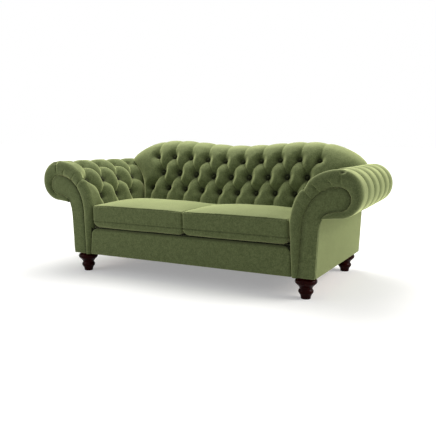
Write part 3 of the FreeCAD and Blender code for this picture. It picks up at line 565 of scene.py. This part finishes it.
def armPleats():
    deep, mid, shallow = arm["deepest"], arm["midPleat"], arm["coveredDepth"]
    covered = arm["coveredFrom"]
    pleats = []
    for row, ((turn, places), (nextTurn, nextPlaces)) in enumerate(zip(armLines, armLines[1:])):
        for y in places:
            for y2 in nextPlaces:
                if abs(abs(y - y2) - arm["pitch"] / 2) < 0.001:
                    depths = buttonToButton(deep, mid)
                    starts, ends = y > covered[row], y2 > covered[row + 1]
                    if starts or ends:
                        depths = [(0, shallow if starts else mid), (0.5, arm["coveredMid"]),
                                  (1, shallow if ends else mid)]
                    pleats.append(pleatLine(armPoint, (y, turn), (y2, nextTurn), depths))
    for y in armLong:  # straight down to the seat
        most = shallow if y > covered[0] else deep
        down = pleatLine(armPoint, (y, arm["turns"][0]), (y, 0.0),
                         [(0, most)] + [(share, min(most, depth)) for share, depth in arm["down"]])
        pleats.append(down + [(armRowPoint(("foot", z), y, 0.0), min(most, arm["atFoot"]))
                              for z in np.linspace(0.42, sofa["base"] + sofa["padRise"], 8)])
    for row, edgeTurn, partWay, atEdge in arm["frontPleats"]:
        turn, places = armLines[row]
        pleats.append(pleatLine(armPoint, (places[0], turn), (sofa["padFront"], edgeTurn),
                                [(0, deep), (0.3, partWay), (1, atEdge)]))
    channels = []
    for y in armLong:  # round the scroll
        depths = [(0, deep)] + arm["channel"]
        if y > covered[2]:
            depths = [(0, shallow)] + arm["coveredChannel"]
        over = pleatLine(armPoint, (y, arm["turns"][2]), (y, sofa["underTurn"]), depths, 0.0, 40)
        channels.append(over + [(underPoint(y), arm["atUnder"])])
    return pleats, channels


def tuftedArm(side, name, node):
    rows = armRows()
    columns, rear = arm["columns"], arm["rearColumns"]
    ys = np.linspace(sofa["padFront"], sofa["padRear"], columns)
    base = np.array([armRowPoint(row, y, 0.0) for row in rows for y in ys])
    pleats, channels = armPleats()
    inset = pleatDepths(base, pleats, arm["deepest"], arm["reach"])
    inset = np.maximum(inset, pleatDepths(base, channels, arm["deepest"], arm["channelReach"]))
    seats = [armPoint(turn, y, 0.0) for (turn, places), covered in zip(armLines, arm["coveredFrom"])
             for y in places if y < covered]
    inset += (arm["pit"] - inset) * pitShares(base, seats, arm["pitReach"])
    edge = unit(1 - (base[:, 1] - sofa["padFront"]) / arm["dentReach"])
    outside = unit((base[:, 0] - arm["scrollX"]) / arm["scrollOver"])
    inset = np.maximum(inset, arm["scrollDent"] * outside * (1 - np.sqrt(1 - edge ** 2)))
    inset += lumpy(base, 0.1, 0.0015, 2 + side)
    points = []
    for r, row in enumerate(rows):
        under = row[0] == "under" or (row[0] == "turn" and row[1] > 180)
        thickness = arm["scrollThickness" if under else "thickness"]
        points += [armRowPoint(row, y, inset[r * columns + c]) for c, y in enumerate(ys)]
        points += [armRowPoint(row, y, thickness) for y in np.linspace(ys[-1], ys[0], rear)]
    folds = np.pad(foldShades(inset, arm["pit"]).reshape(len(rows), columns), ((0, 0), (0, rear)))
    dress(meshPiece(name, side, points, columns + rear, folds.ravel()), node)


tuftedArm(1, "tuftedArmRight", "arm_pad_right")
tuftedArm(-1, "tuftedArmLeft", "arm_pad_left")


# Arm fronts
print("arm fronts")
roll = {
    "depth": 0.032, "across": 40, "runs": [70, 70, 80, 120, 90, 14], "footInset": 0.038,
    "bendInset": 0.078, "bendRise": 0.276, "topInset": 0.101, "scrollRadius": 0.066, "endRise": 0.008,
    "pleats": [((0.790, 0.650), (0.849, 0.584)), ((0.853, 0.672), (0.892, 0.629)),
               ((0.940, 0.698), (0.964, 0.666)), ((1.010, 0.731), (1.012, 0.679))],
    "pleatDepth": 0.009, "pleatReach": 0.014, "pleatLip": 0.004, "lipReach": 0.008,
    # Buttons and stitches that pull the roll in: turn, inset, depth, reach, lean to the rear
    "dents": [(44, 0.0, 0.011, 0.048, 0.0), (99, 0.009, 0.011, 0.017, 0.7)],
    "creaseShade": 0.42, "creaseReach": 0.030,
    "borderTop": 0.314, "borderY": -0.474, "borderShade": 0.9}  # in the dark beside the border


def spread(start, end, count):
    return np.linspace(start, end, count, endpoint=False)


def frontEdge(inset, at):
    # Up the arm's front and round the scroll, in the same runs for both edges of the roll
    runs = roll["runs"]
    foot = Vector((sofa["seatHalf"] + sofa["footStep"] + inset, sofa["boardY"], sofa["base"]))
    places = [foot.lerp(at(0), t) for t in spread(0, 1, runs[0])]
    for (a, b), count in zip(((0, 45), (45, 90), (90, 180), (180, sofa["underTurn"])), runs[1:]):
        places += [at(turn) for turn in spread(a, b, count)]
    return places


def bent(a, middle, b, t):
    # On the curve through three places
    return a * (1 - t) * (1 - 2 * t) + middle * 4 * t * (1 - t) + b * t * (2 * t - 1)


def rollEdge():
    y = sofa["boardY"]
    places = frontEdge(0.0, lambda turn: armPoint(turn, y, 0.0))
    last = armPoint(sofa["underTurn"], y, 0.0)
    return places + [last.lerp(underPoint(y), t) for t in np.linspace(0, 1, roll["runs"][-1])]


def facingEdge():
    y, r = sofa["boardY"], roll["scrollRadius"]
    x, top, radius = scrollAt(y)
    bendZ = sofa["base"] + roll["bendRise"]
    across, up = x - sofa["seatHalf"] - roll["bendInset"], top - roll["topInset"] - bendZ

    def at(turn):
        angle = radians(turn)
        if turn <= 90:
            return Vector((x - across * cos(angle), y, bendZ + up * sin(angle)))
        return Vector((x - r * cos(angle), y, bendZ + up - r + r * sin(angle)))

    last, end = at(sofa["underTurn"]), underPoint(y) + Vector((0, 0, roll["endRise"]))
    bend = Vector((end.x + (last.x - end.x) * 0.3, y, end.z + (last.z - end.z) * 0.6))
    curve = [bent(last, bend, end, t) for t in np.linspace(0, 1, roll["runs"][-1])]
    return frontEdge(roll["footInset"], at) + curve


def rolledEdge(side, name, node):
    outer, inner = rollEdge(), facingEdge()
    angles = np.linspace(0, pi, roll["across"])
    rings, count = len(outer), len(angles)
    surface, middles = [], []
    for a, b in zip(outer, inner):
        middles += [(a + b) / 2] * count
        for angle in angles:
            forward = roll["depth"] * sin(angle) ** (0.86 + 0.45 * (angle / pi) ** 2)
            surface.append(a.lerp(b, (1 - cos(angle)) / 2) - Vector((0, forward, 0)))
    base = np.array(surface)
    pleats = []
    for (x0, z0), (x1, z1) in roll["pleats"]:
        line = []
        for t in np.linspace(-0.12, 1.0, 9):
            x, z = x0 + (x1 - x0) * t, z0 + (z1 - z0) * t
            near = base[np.argmin((base[:, 0] - x) ** 2 + (base[:, 2] - z) ** 2)]
            line.append((near, roll["pleatDepth"] * (1 - 0.45 * abs(2 * t - 1))))
        pleats.append(line)
    inset = pleatDepths(base, pleats, roll["pleatDepth"], roll["pleatReach"])
    for pleat in pleats:  # one lip of each pleat stands up and catches the light
        line = np.array([p for p, d in pleat]) + (0.005, 0, 0.004)
        lip = 1 - fromLine(base, line, roll["lipReach"]) / roll["lipReach"]
        inset -= roll["pleatLip"] * lip ** 2
    inset += lumpy(base, 0.05, 0.0012, 5 + side)
    pulls, dentShade = np.zeros(base.shape), np.zeros(len(base))
    for turn, inset0, depth, reach, lean in roll["dents"]:
        place = armPoint(turn, sofa["boardY"], inset0)
        inward = (armPoint(turn, sofa["boardY"], inset0 + 0.01) - place) / 0.01 + Vector((0, lean, 0))
        wide = 1.6 if lean else 1.0
        away = np.hypot((base[:, 0] - place.x) / wide, base[:, 2] - place.z) / reach
        pulls += (depth * unit(1 - away ** 2) ** 2)[:, None] * np.array(inward)
        # Painted shade round the stitched dent on the scroll
        if lean:
            dentShade = np.maximum(dentShade, np.clip(1.1 - away / 0.7, 0, 0.7))
    points = []
    for r in range(rings):
        for c, angle in enumerate(angles):
            n = r * count + c
            held = 1.0 if angle < pi / 2 else max(0.0, sin(angle)) ** 0.5
            draw = inset[n] * held
            points.append(surface[n] - (surface[n] - middles[n]).normalized() * draw
                          + Vector(pulls[n]) * (1 + cos(angle)) / 2)
        points += [inner[r].lerp(outer[r], t) for t in (0.25, 0.5, 0.75)]
    crease = [roll["creaseShade"] * max(0.0, angle / pi - 0.85) for angle in angles] + [0.0] * 3
    folds = np.array(crease * rings).reshape(rings, count + 3)
    folds[:, :count] = np.maximum(folds[:, :count], dentShade.reshape(rings, count))
    behind = (base[:, 2] < roll["borderTop"]) & (base[:, 1] > roll["borderY"])
    half = count // 2
    behind = roll["borderShade"] * behind.reshape(rings, count)[:, :half]
    folds[:, :half] = np.maximum(folds[:, :half], behind)
    dress(meshPiece(name, side, points, count + 3, folds.ravel()), node)


rolledEdge(1, "rolledEdgeRight", "arm_front_roll_right")
rolledEdge(-1, "rolledEdgeLeft", "arm_front_roll_left")


def applied(piece, kind, settings):
    modifier = piece.modifiers.new(kind.lower(), kind)
    for name, value in settings.items():
        setattr(modifier, name, value)
    pick(piece)
    bpy.ops.object.modifier_apply(modifier=modifier.name)


def coverOver(node, name, cell, smoothing):
    # A cover cut to the solid it goes over: a merged copy, remeshed fine and eased at its edges
    mesh = bpy.data.objects[node].data.copy()
    piece = newObject(name, mesh)
    merged = bmesh.new()
    merged.from_mesh(mesh)
    bmesh.ops.remove_doubles(merged, verts=merged.verts, dist=0.00001)
    merged.to_mesh(mesh)
    merged.free()
    applied(piece, "REMESH", {"mode": "VOXEL", "voxel_size": cell, "use_smooth_shade": True})
    applied(piece, "SMOOTH", {"factor": 0.5, "iterations": smoothing})
    piece.data.materials.clear()
    piece.data.materials.append(coverVelvet)
    dress(piece, node)
    return piece


def pointsOf(piece, what="co"):
    flat = np.empty(len(piece.data.vertices) * 3)
    piece.data.vertices.foreach_get(what, flat)
    return flat.reshape(-1, 3)


def setPoints(piece, points):
    piece.data.vertices.foreach_set("co", points.ravel())
    piece.data.update()


facing = {"cell": 0.005, "puff": 0.005, "tuck": 0.006, "reach": 0.045, "rim": 0.015, "tuckReach": 0.014}
for side, hand in ((1, "right"), (-1, "left")):
    panel = coverOver("arm_facing_" + hand, "armFacing" + hand.capitalize(), facing["cell"], 3)
    points = pointsOf(panel)
    edge = np.array([(side * p.x, 0.0, p.z) for p in facingEdge()])
    flat = points * (1, 0, 1)
    away = fromLine(flat, edge, facing["reach"]) / facing["reach"]
    front = unit((sofa["boardY"] - points[:, 1]) / facing["rim"])
    points[:, 1] -= front * (facing["puff"] * (1 - (1 - away) ** 2) + lumpy(points, 0.12, 0.001, 9))
    nearest = edge[np.argmin(((flat[:, None, :] - edge[None, ::3, :]) ** 2).sum(2), axis=1) * 3]
    outward = nearest - flat
    outward /= np.maximum(np.linalg.norm(outward, axis=1), 0.002)[:, None]
    tuck = unit(1 - away * facing["reach"] / facing["tuckReach"]) * front
    points += outward * (facing["tuck"] * tuck)[:, None]
    setPoints(panel, points)
    crease = unit(1 - away * facing["reach"] / roll["creaseReach"]) ** 1.5
    shadeFolds(panel, roll["creaseShade"] * crease)


# Outside arms, outside back and the border under the seat
print("outside panels")
panels = {
    "rings": 120, "around": 60, "belly": 16, "inside": 8, "thickness": 0.007, "wave": 0.0012,
    "backCell": 0.008, "backRear": 0.478, "backRim": 0.012}


def armSideProfile(y, inset):
    under = underPoint(y) - Vector((inset, 0, 0))
    neck = Vector((sofa["armOuter"] + sofa["neckStep"] - inset, y, sofa["base"] + sofa["neckRise"]))
    foot = Vector((sofa["armOuter"] - inset, y, sofa["base"]))
    belly = Vector((neck.x + (under.x - neck.x) * 0.32, y, neck.z + (under.z - neck.z) * 0.55))
    count = panels["belly"]
    places = [bent(under, belly, neck, t) for t in spread(0, 1, count)]
    return places + [neck.lerp(foot, t) for t in np.linspace(0, 1, panels["around"] - count)]


def outsideArm(side, name, node):
    around, inside = panels["around"], panels["inside"]
    ys = np.linspace(sofa["boardY"], sofa["padRear"], panels["rings"])
    points = []
    for y in ys:
        outer, inner = armSideProfile(y, 0.0), armSideProfile(y, panels["thickness"])
        points += outer + [inner[n] for n in np.linspace(len(inner) - 1, 0, inside).astype(int)]
    waves = lumpy(points, 0.16, panels["wave"], 12 + side)
    moved = []
    for n, p in enumerate(points):
        c = n % (around + inside)
        free = sin(pi * min(1.0, c / (around - 1))) if c < around else 0.0
        moved.append((p[0] + free * waves[n], p[1], p[2]))
    dress(meshPiece(name, side, moved, around + inside), node)


outsideArm(1, "outsideArmRight", "outside_arm_right")
outsideArm(-1, "outsideArmLeft", "outside_arm_left")
rearPanel = coverOver("outside_back", "outsideBack", panels["backCell"], 2)
points = pointsOf(rearPanel)
outer = unit((points[:, 1] - panels["backRear"]) / panels["backRim"])
points[:, 1] += outer * (lumpy(points, 0.2, 0.0015, 20) - 0.0008)
setPoints(rearPanel, points)

border = {
    "cell": 0.006, "rounding": 0.076, "widen": 0.009, "widenFrom": 0.66, "widenOver": 0.04,
    "face": 0.010, "cornerY": -0.4675, "shadeReach": 0.020, "topFall": 0.007, "fallReach": 0.026}
strip = coverOver("front_border", "frontBorder", border["cell"], 4)
points = pointsOf(strip)
x, y, z = points.T
y += lumpy(points, 0.10, 0.0016, 21) + lumpy(points * (1, 1, 0.25), 0.03, 0.0005, 22)
x += np.sign(x) * border["widen"] * unit((abs(x) - border["widenFrom"]) / border["widenOver"])
wide = sofa["seatHalf"] + sofa["footStep"] * (waistZ - z) / sofa["waistRise"] + border["widen"]
tall, rounding = z.max(), border["rounding"]
over = np.stack([abs(x) - wide + rounding, z - tall + rounding], axis=1).clip(0)
beyond = np.maximum(0, np.linalg.norm(over, axis=1) - rounding) * (over.min(axis=1) > 0)
pull = over / np.maximum(np.linalg.norm(over, axis=1), 1e-6)[:, None] * beyond[:, None]
frontal = unit((sofa["boardY"] - y) / border["face"])
# Painted shade in the gap behind each rounded top corner of the border
cornerGapShade = unit(beyond / 0.001) * (y > border["cornerY"])
x -= np.sign(x) * pull[:, 0] * frontal
z -= pull[:, 1] * frontal
below = tall - z
y += border["topFall"] * unit(1 - below / border["fallReach"]) ** 2 * frontal
setPoints(strip, points)
# Painted shade along the border's top, under the cushions, and behind its rounded corners
shadeFolds(strip, np.maximum(unit(1 - below / border["shadeReach"]), cornerGapShade))


# Seat cushions
print("seat cushions")
cushion = {
    "x": (0.00075, 0.705), "y": (-0.482, 0.077), "low": 0.3610, "high": 0.4660, "corner": 0.016,
    "topCrown": 0.035, "bottomCrown": 0.045, "rollAlong": 0.032, "rollAcross": 0.036,
    "rearFall": 0.021, "drawIn": 0.007, "cell": 0.007, "pressure": 4.0, "frames": 20, "cap": 0.024,
    "seamWidth": 0.008, "seamDepth": 0.0045, "seamShade": 0.4, "puckers": 0.024,
    "puckerHeight": 0.0007, "deck": 0.3158, "coreHigh": 0.4523, "coreCrown": 0.028,
    "caseOver": 0.003, "keepX": (0.0008, 0.7105), "keepY": (-0.4885, 0.083)}


def cushionOutline(z):
    # The seam's line, from above: a rectangle with tight corners whose front pulls in between them
    (a, b), (c, d), r = cushion["x"], cushion["y"], cushion["corner"]
    places = []
    for cx, cy, start in ((b - r, c + r, 270), (b - r, d - r, 0), (a + r, d - r, 90), (a + r, c + r, 180)):
        for turn in np.linspace(start, start + 90, 7):
            angle = radians(turn)
            places.append([cx + r * cos(angle), cy + r * sin(angle), z])
    line = []
    for p, q in zip(places, places[1:] + places[:1]):
        count = max(1, int(dist(p, q) / 0.012))
        line += [[p[k] + (q[k] - p[k]) * n / count for k in range(3)] for n in range(count)]
    for p in line:
        if p[1] < c + r:
            p[1] += cushion["drawIn"] * sin(pi * min(1, max(0, (p[0] - a) / (b - a))))
    return np.array(line + line[:1])


def fromSeams(points, reach):
    return np.minimum(*[fromLine(points, cushionOutline(cushion[z]), reach) for z in ("low", "high")])


def fromMiddle(x, y):
    # How far from the cushion's middle, across and along it: 0 there, 1 at the seams
    (a, b), (c, d) = cushion["x"], cushion["y"]
    return unit(abs(2 * (x - a) / (b - a) - 1)), unit(abs(2 * (y - c) / (d - c) - 1))


def underShare(x, y):
    # How far the underside has rolled down from the lower seam to where it lies flat
    (a, b), (c, d) = cushion["x"], cushion["y"]
    along = min(1.0, max(0.0, min(y - c, d - y)) / cushion["rollAlong"])
    across = min(1.0, max(0.0, min(x - a, b - x)) / cushion["rollAcross"])
    return sqrt(1 - (1 - along) ** 2) * sqrt(1 - (1 - across) ** 2)


def cushionBody(name):
    # The unfilled case: crowned top and underside over a straight boxing
    outline = cushionOutline(0.0)[:-1]
    middle = outline.mean(0)
    steps = [0.02, 0.2, 0.4, 0.6, 0.72, 0.8, 0.86, 0.9, 0.94, 0.965, 0.985, 0.995, 1.0]
    low, high = cushion["low"], cushion["high"]
    rings = [(s, "under") for s in steps] + [(t, "side") for t in (0.2, 0.4, 0.6, 0.8)]
    rings += [(s, "top") for s in steps[::-1]]
    points = []
    for share, part in rings:
        for p in outline:
            q = p if part == "side" else middle + (p - middle) * share
            if part == "under":
                z = low - cushion["bottomCrown"] * underShare(*q[:2])
            elif part == "side":
                z = low + (high - low) * share
            else:
                across, along = fromMiddle(*q[:2])
                z = high + cushion["topCrown"] * (1 - across ** 3) ** 0.6 * (1 - along ** 2) ** 0.8
            points.append((q[0], q[1], z))
    return meshPiece(name, 1, points, len(outline))


def filledCushion(side, name, node, body):
    piece = cushionBody(name)
    applied(piece, "REMESH", {"mode": "VOXEL", "voxel_size": cushion["cell"]})
    start = pointsOf(piece)
    held = (fromSeams(start, 0.05) < 0.008) | (start[:, 2] < cushion["low"])
    piece.vertex_groups.new(name="seams").add([int(n) for n in np.where(held)[0]], 1.0, "REPLACE")
    cloth = piece.modifiers.new("filling", "CLOTH")
    filling = cloth.settings
    filling.use_pressure = True
    filling.uniform_pressure_force = cushion["pressure"]
    filling.effector_weights.gravity = 0.0
    filling.vertex_group_mass = "seams"
    filling.quality = 5
    filling.tension_stiffness = filling.compression_stiffness = 25.0
    filling.bending_stiffness = 2.0
    cloth.collision_settings.use_collision = False
    for step in range(1, cushion["frames"] + 1):
        scene.frame_set(step)
    pick(piece)
    bpy.ops.object.modifier_apply(modifier=cloth.name)
    scene.frame_set(1)
    moved = pointsOf(piece) - start
    length = np.linalg.norm(moved, axis=1)
    print(name, "swelled by up to", round(float(length.max() * 1000), 1), "mm")
    setPoints(piece, start + moved * np.minimum(1, cushion["cap"] / np.maximum(length, 1e-9))[:, None])
    piece.vertex_groups.clear()
    applied(piece, "SUBSURF", {"levels": 1, "render_levels": 1})
    points = pointsOf(piece)
    away = fromSeams(points, 0.03)
    groove = unit(1 - (away / cushion["seamWidth"]) ** 2) ** 2
    pucker = np.sin(2 * pi * points[:, :2].sum(1) / cushion["puckers"] + lumpy(points, 0.05, 5.0, 31))
    pucker *= cushion["puckerHeight"] * np.exp(-((away - 0.010) / 0.009) ** 2)
    rise = pucker - cushion["seamDepth"] * groove + lumpy(points, 0.14, 0.0022, 30 + side)
    points += pointsOf(piece, "normal") * rise[:, None]

    # The case falls to the rear and its corners, but stays over the foam core
    x, y, z = points.T
    (front, rear), (across, along) = cushion["y"], fromMiddle(x, y)
    fall = cushion["rearFall"] * (0.6 + 0.4 * across ** 2) * unit((y - front) / (rear - front)) ** 1.5
    core = cushion["coreHigh"] + cushion["coreCrown"] * np.sqrt(1 - across ** 4) * (1 - along ** 2)
    room = np.maximum(z, cushion["high"]) - core - cushion["caseOver"]
    fall = np.clip(0.5 * (fall + room - np.sqrt((fall - room) ** 2 + 0.003 ** 2)), 0, None)
    z = np.maximum(z - fall * unit((z - 0.36) / 0.1), cushion["deck"])
    x, y = side * np.clip(x, *cushion["keepX"]), np.clip(y, *cushion["keepY"])
    setPoints(piece, np.stack([x, y, z], axis=1))
    shadeFolds(piece, cushion["seamShade"] * groove)
    if side < 0:
        piece.data.flip_normals()
    piece.data.shade_smooth()
    dress(piece, node, body=body)


filledCushion(1, "seatCushionRight", "seat_cushion_cover_right", "right_cushion")
filledCushion(-1, "seatCushionLeft", "seat_cushion_cover_left", "left_cushion")


# Buttons
print("buttons")
button = {"radius": 0.0115, "height": 0.0062, "depth": 0.044, "cutAt": 0.3, "clearOfBack": 0.024}


def buttonAt(place, outward):
    # A ball cut below its middle and flattened, its dome along outward
    radius = button["radius"]
    pick()
    bpy.ops.mesh.primitive_uv_sphere_add(segments=20, ring_count=12, radius=radius)
    piece = bpy.context.object
    bpy.ops.object.mode_set(mode="EDIT")
    bpy.ops.mesh.select_all(action="SELECT")
    bpy.ops.mesh.bisect(plane_co=(0, 0, -radius * button["cutAt"]), plane_no=(0, 0, 1), use_fill=True,
                        clear_inner=True)
    bpy.ops.mesh.select_all(action="SELECT")
    bpy.ops.transform.resize(value=(1, 1, button["height"] / radius), center_override=(0, 0, 0))
    bpy.ops.object.mode_set(mode="OBJECT")
    bpy.ops.object.shade_smooth()
    piece.rotation_euler = outward.to_track_quat("Z", "Y").to_euler()
    piece.location = place
    bpy.ops.object.transform_apply()
    return piece


def joinedPiece(name, parts, node, slotName):
    pick(*parts)
    bpy.ops.object.join()
    piece = bpy.context.object
    piece.name = name
    piece.data.materials.clear()
    piece.data.materials.append(slotLooks[slotName])
    dress(piece, node)


def backButtons(name, row, places, node):
    parts = []
    for x in places:
        deep = backPoint(row, x, button["depth"])
        parts.append(buttonAt(deep, (backPoint(row, x, 0.0) - deep).normalized()))
    joinedPiece(name, parts, node, "button_velvet")


for (row, places), part in zip(backRows, ("Lower", "Middle", "Upper")):
    backButtons("backButtons" + part, row, places, "back_buttons_" + part.lower())


def insideBackY(z, x):
    spots = [backPoint(v, x, 0.0) for v in np.linspace(0, 10, 60)]
    return float(np.interp(z, [p.z for p in spots], [p.y for p in spots]))


def armButtons(side, name, node):
    parts, mirror = [], Vector((side, 1, 1))
    for turn, places in armLines:
        for y in places:
            top, deep = armPoint(turn, y, 0.0), armPoint(turn, y, button["depth"])
            if y + button["clearOfBack"] > insideBackY(top.z, top.x):
                continue
            parts.append(buttonAt(deep * mirror, (top - deep).normalized() * mirror))
    joinedPiece(name, parts, node, "button_velvet")


armButtons(1, "armButtonsRight", "arm_buttons_right")
armButtons(-1, "armButtonsLeft", "arm_buttons_left")


# Feet
print("feet")
turnedFoot = {"x": 0.803, "frontY": -0.417, "rearY": 0.386, "sides": 72, "profile": [
    # Radius and height of each ring, in millimetres
    (26.5, 0), (28.8, 1.5), (29.6, 8), (31, 16), (34.5, 24), (39, 31), (43, 36.5), (45, 42), (45, 48),
    (43.2, 53), (40, 57), (38.2, 60), (38, 63), (39.2, 67.5), (42.5, 73), (48.5, 80), (55.5, 86.5),
    (61.5, 92.5), (65, 98.5), (66, 104.5), (65.2, 110.5), (62.5, 115.5), (58.5, 119), (55, 120.5),
    (53.5, 122), (54, 124), (57, 127), (57, 130)]}


def footAt(x, y):
    # Turned up from the floor, ring by ring
    profile = turnedFoot["profile"]
    pick()
    bpy.ops.mesh.primitive_circle_add(vertices=turnedFoot["sides"], radius=profile[0][0] / 1000,
                                      fill_type="NGON", location=(x, y, 0))
    piece = bpy.context.object
    bpy.ops.object.transform_apply()
    bpy.ops.object.mode_set(mode="EDIT")
    bpy.ops.mesh.select_all(action="SELECT")
    for (r0, z0), (r1, z1) in zip(profile, profile[1:]):
        bpy.ops.mesh.extrude_region_move(TRANSFORM_OT_translate={"value": (0, 0, (z1 - z0) / 1000)})
        bpy.ops.transform.resize(value=(r1 / r0, r1 / r0, 1), center_override=(x, y, z1 / 1000))
    bpy.ops.mesh.select_all(action="SELECT")
    bpy.ops.mesh.normals_make_consistent()
    bpy.ops.object.mode_set(mode="OBJECT")
    bpy.ops.object.shade_smooth_by_angle(angle=radians(50))
    return piece


for end in ("front", "rear"):
    feet = [footAt(side * turnedFoot["x"], turnedFoot[end + "Y"]) for side in (1, -1)]
    joinedPiece(end + "Feet", feet, end + "_legs", "mahogany")


# Camera and studio
print("studio")
cameraData = bpy.data.cameras.new("photoCamera")
cameraData.lens, cameraData.sensor_width = 50.54, 36.0
camera = newObject("photoCamera", cameraData)
camera.location = (1.959, -3.734, 0.974)
camera.rotation_euler = (radians(81.822), 0.0, radians(27.611))
scene.camera = camera


def softBox(name, place, aim, width, height, watts, tint):
    lamp = bpy.data.lights.new(name, "AREA")
    lamp.shape, lamp.size, lamp.size_y = "RECTANGLE", width, height
    lamp.energy, lamp.color = watts, linearFromHex(tint)[:3]
    holder = newObject(name, lamp)
    holder.location = place
    holder.rotation_euler = (Vector(aim) - Vector(place)).to_track_quat("-Z", "Y").to_euler()


studio = {"top": 124.0, "right": 90.0, "front": 19.0, "world": 0.38}
softBox("topBox", (-0.8, 0.9, 3.2), (0.0, 0.0, 0.5), 3.2, 2.2, studio["top"], "#fffdf8")
softBox("rightBox", (3.6, 0.6, 1.9), (0.3, 0.0, 0.5), 1.8, 1.8, studio["right"], "#fffdf8")
softBox("frontBox", (-2.4, -2.2, 1.3), (-0.5, 0.0, 0.5), 1.8, 1.6, studio["front"], "#fbfdff")

world = emptied(bpy.data.worlds.new("studioWorld"))
scene.world = world


def whiteWhereSeen(holder, lit):
    # White straight to the eye, in gloss and through glass; the plain level lights the rest
    path, most = addNode(holder, "LightPath").outputs, {"operation": "MAXIMUM"}
    eye = addNode(holder, "Math", {0: path["Is Camera Ray"], 1: path["Is Glossy Ray"]}, most)
    seen = addNode(holder, "Math", {0: eye.outputs[0], 1: path["Is Transmission Ray"]}, most)
    return addNode(holder, "Mix", {0: seen.outputs[0], 2: lit, 3: 1.0}, {"data_type": "FLOAT"}).outputs[0]


worldLight = addNode(world, "Background", {
    "Color": (1, 1, 1, 1), "Strength": whiteWhereSeen(world, studio["world"])})
addNode(world, "OutputWorld", {"Surface": worldLight.outputs["Background"]})

floorLook = {"paint": "#dedede", "lift": 0.30, "near": 1.2, "far": 3.4}
pick()
bpy.ops.mesh.primitive_plane_add(size=60)
floor = bpy.context.object
floor.name = "studioFloor"
floorPaint = emptied(bpy.data.materials.new("mattFloorPaint"))  # smooth white studio floor
paint = addNode(floorPaint, "BsdfDiffuse", {"Color": linearFromHex(floorLook["paint"])})
spot = addNode(floorPaint, "TexCoord").outputs["Object"]
reachOut = addNode(floorPaint, "VectorMath", {0: spot}, {"operation": "LENGTH"})
fade = addNode(floorPaint, "MapRange", {
    "Value": reachOut.outputs["Value"], "From Min": floorLook["near"], "From Max": floorLook["far"],
    "To Min": floorLook["lift"], "To Max": 1.0}, {"interpolation_type": "SMOOTHSTEP"})
strength = addNode(floorPaint, "Math", {
    0: fade.outputs["Result"], 1: whiteWhereSeen(floorPaint, 0.0)}, {"operation": "MULTIPLY"})
lift = addNode(floorPaint, "Emission", {"Color": (1, 1, 1, 1), "Strength": strength.outputs[0]})
floorMix = addNode(floorPaint, "AddShader", {0: paint.outputs["BSDF"], 1: lift.outputs["Emission"]})
addNode(floorPaint, "OutputMaterial", {"Surface": floorMix.outputs["Shader"]})
floor.data.materials.append(floorPaint)

scene.view_settings.view_transform = "Standard"
print("finish")
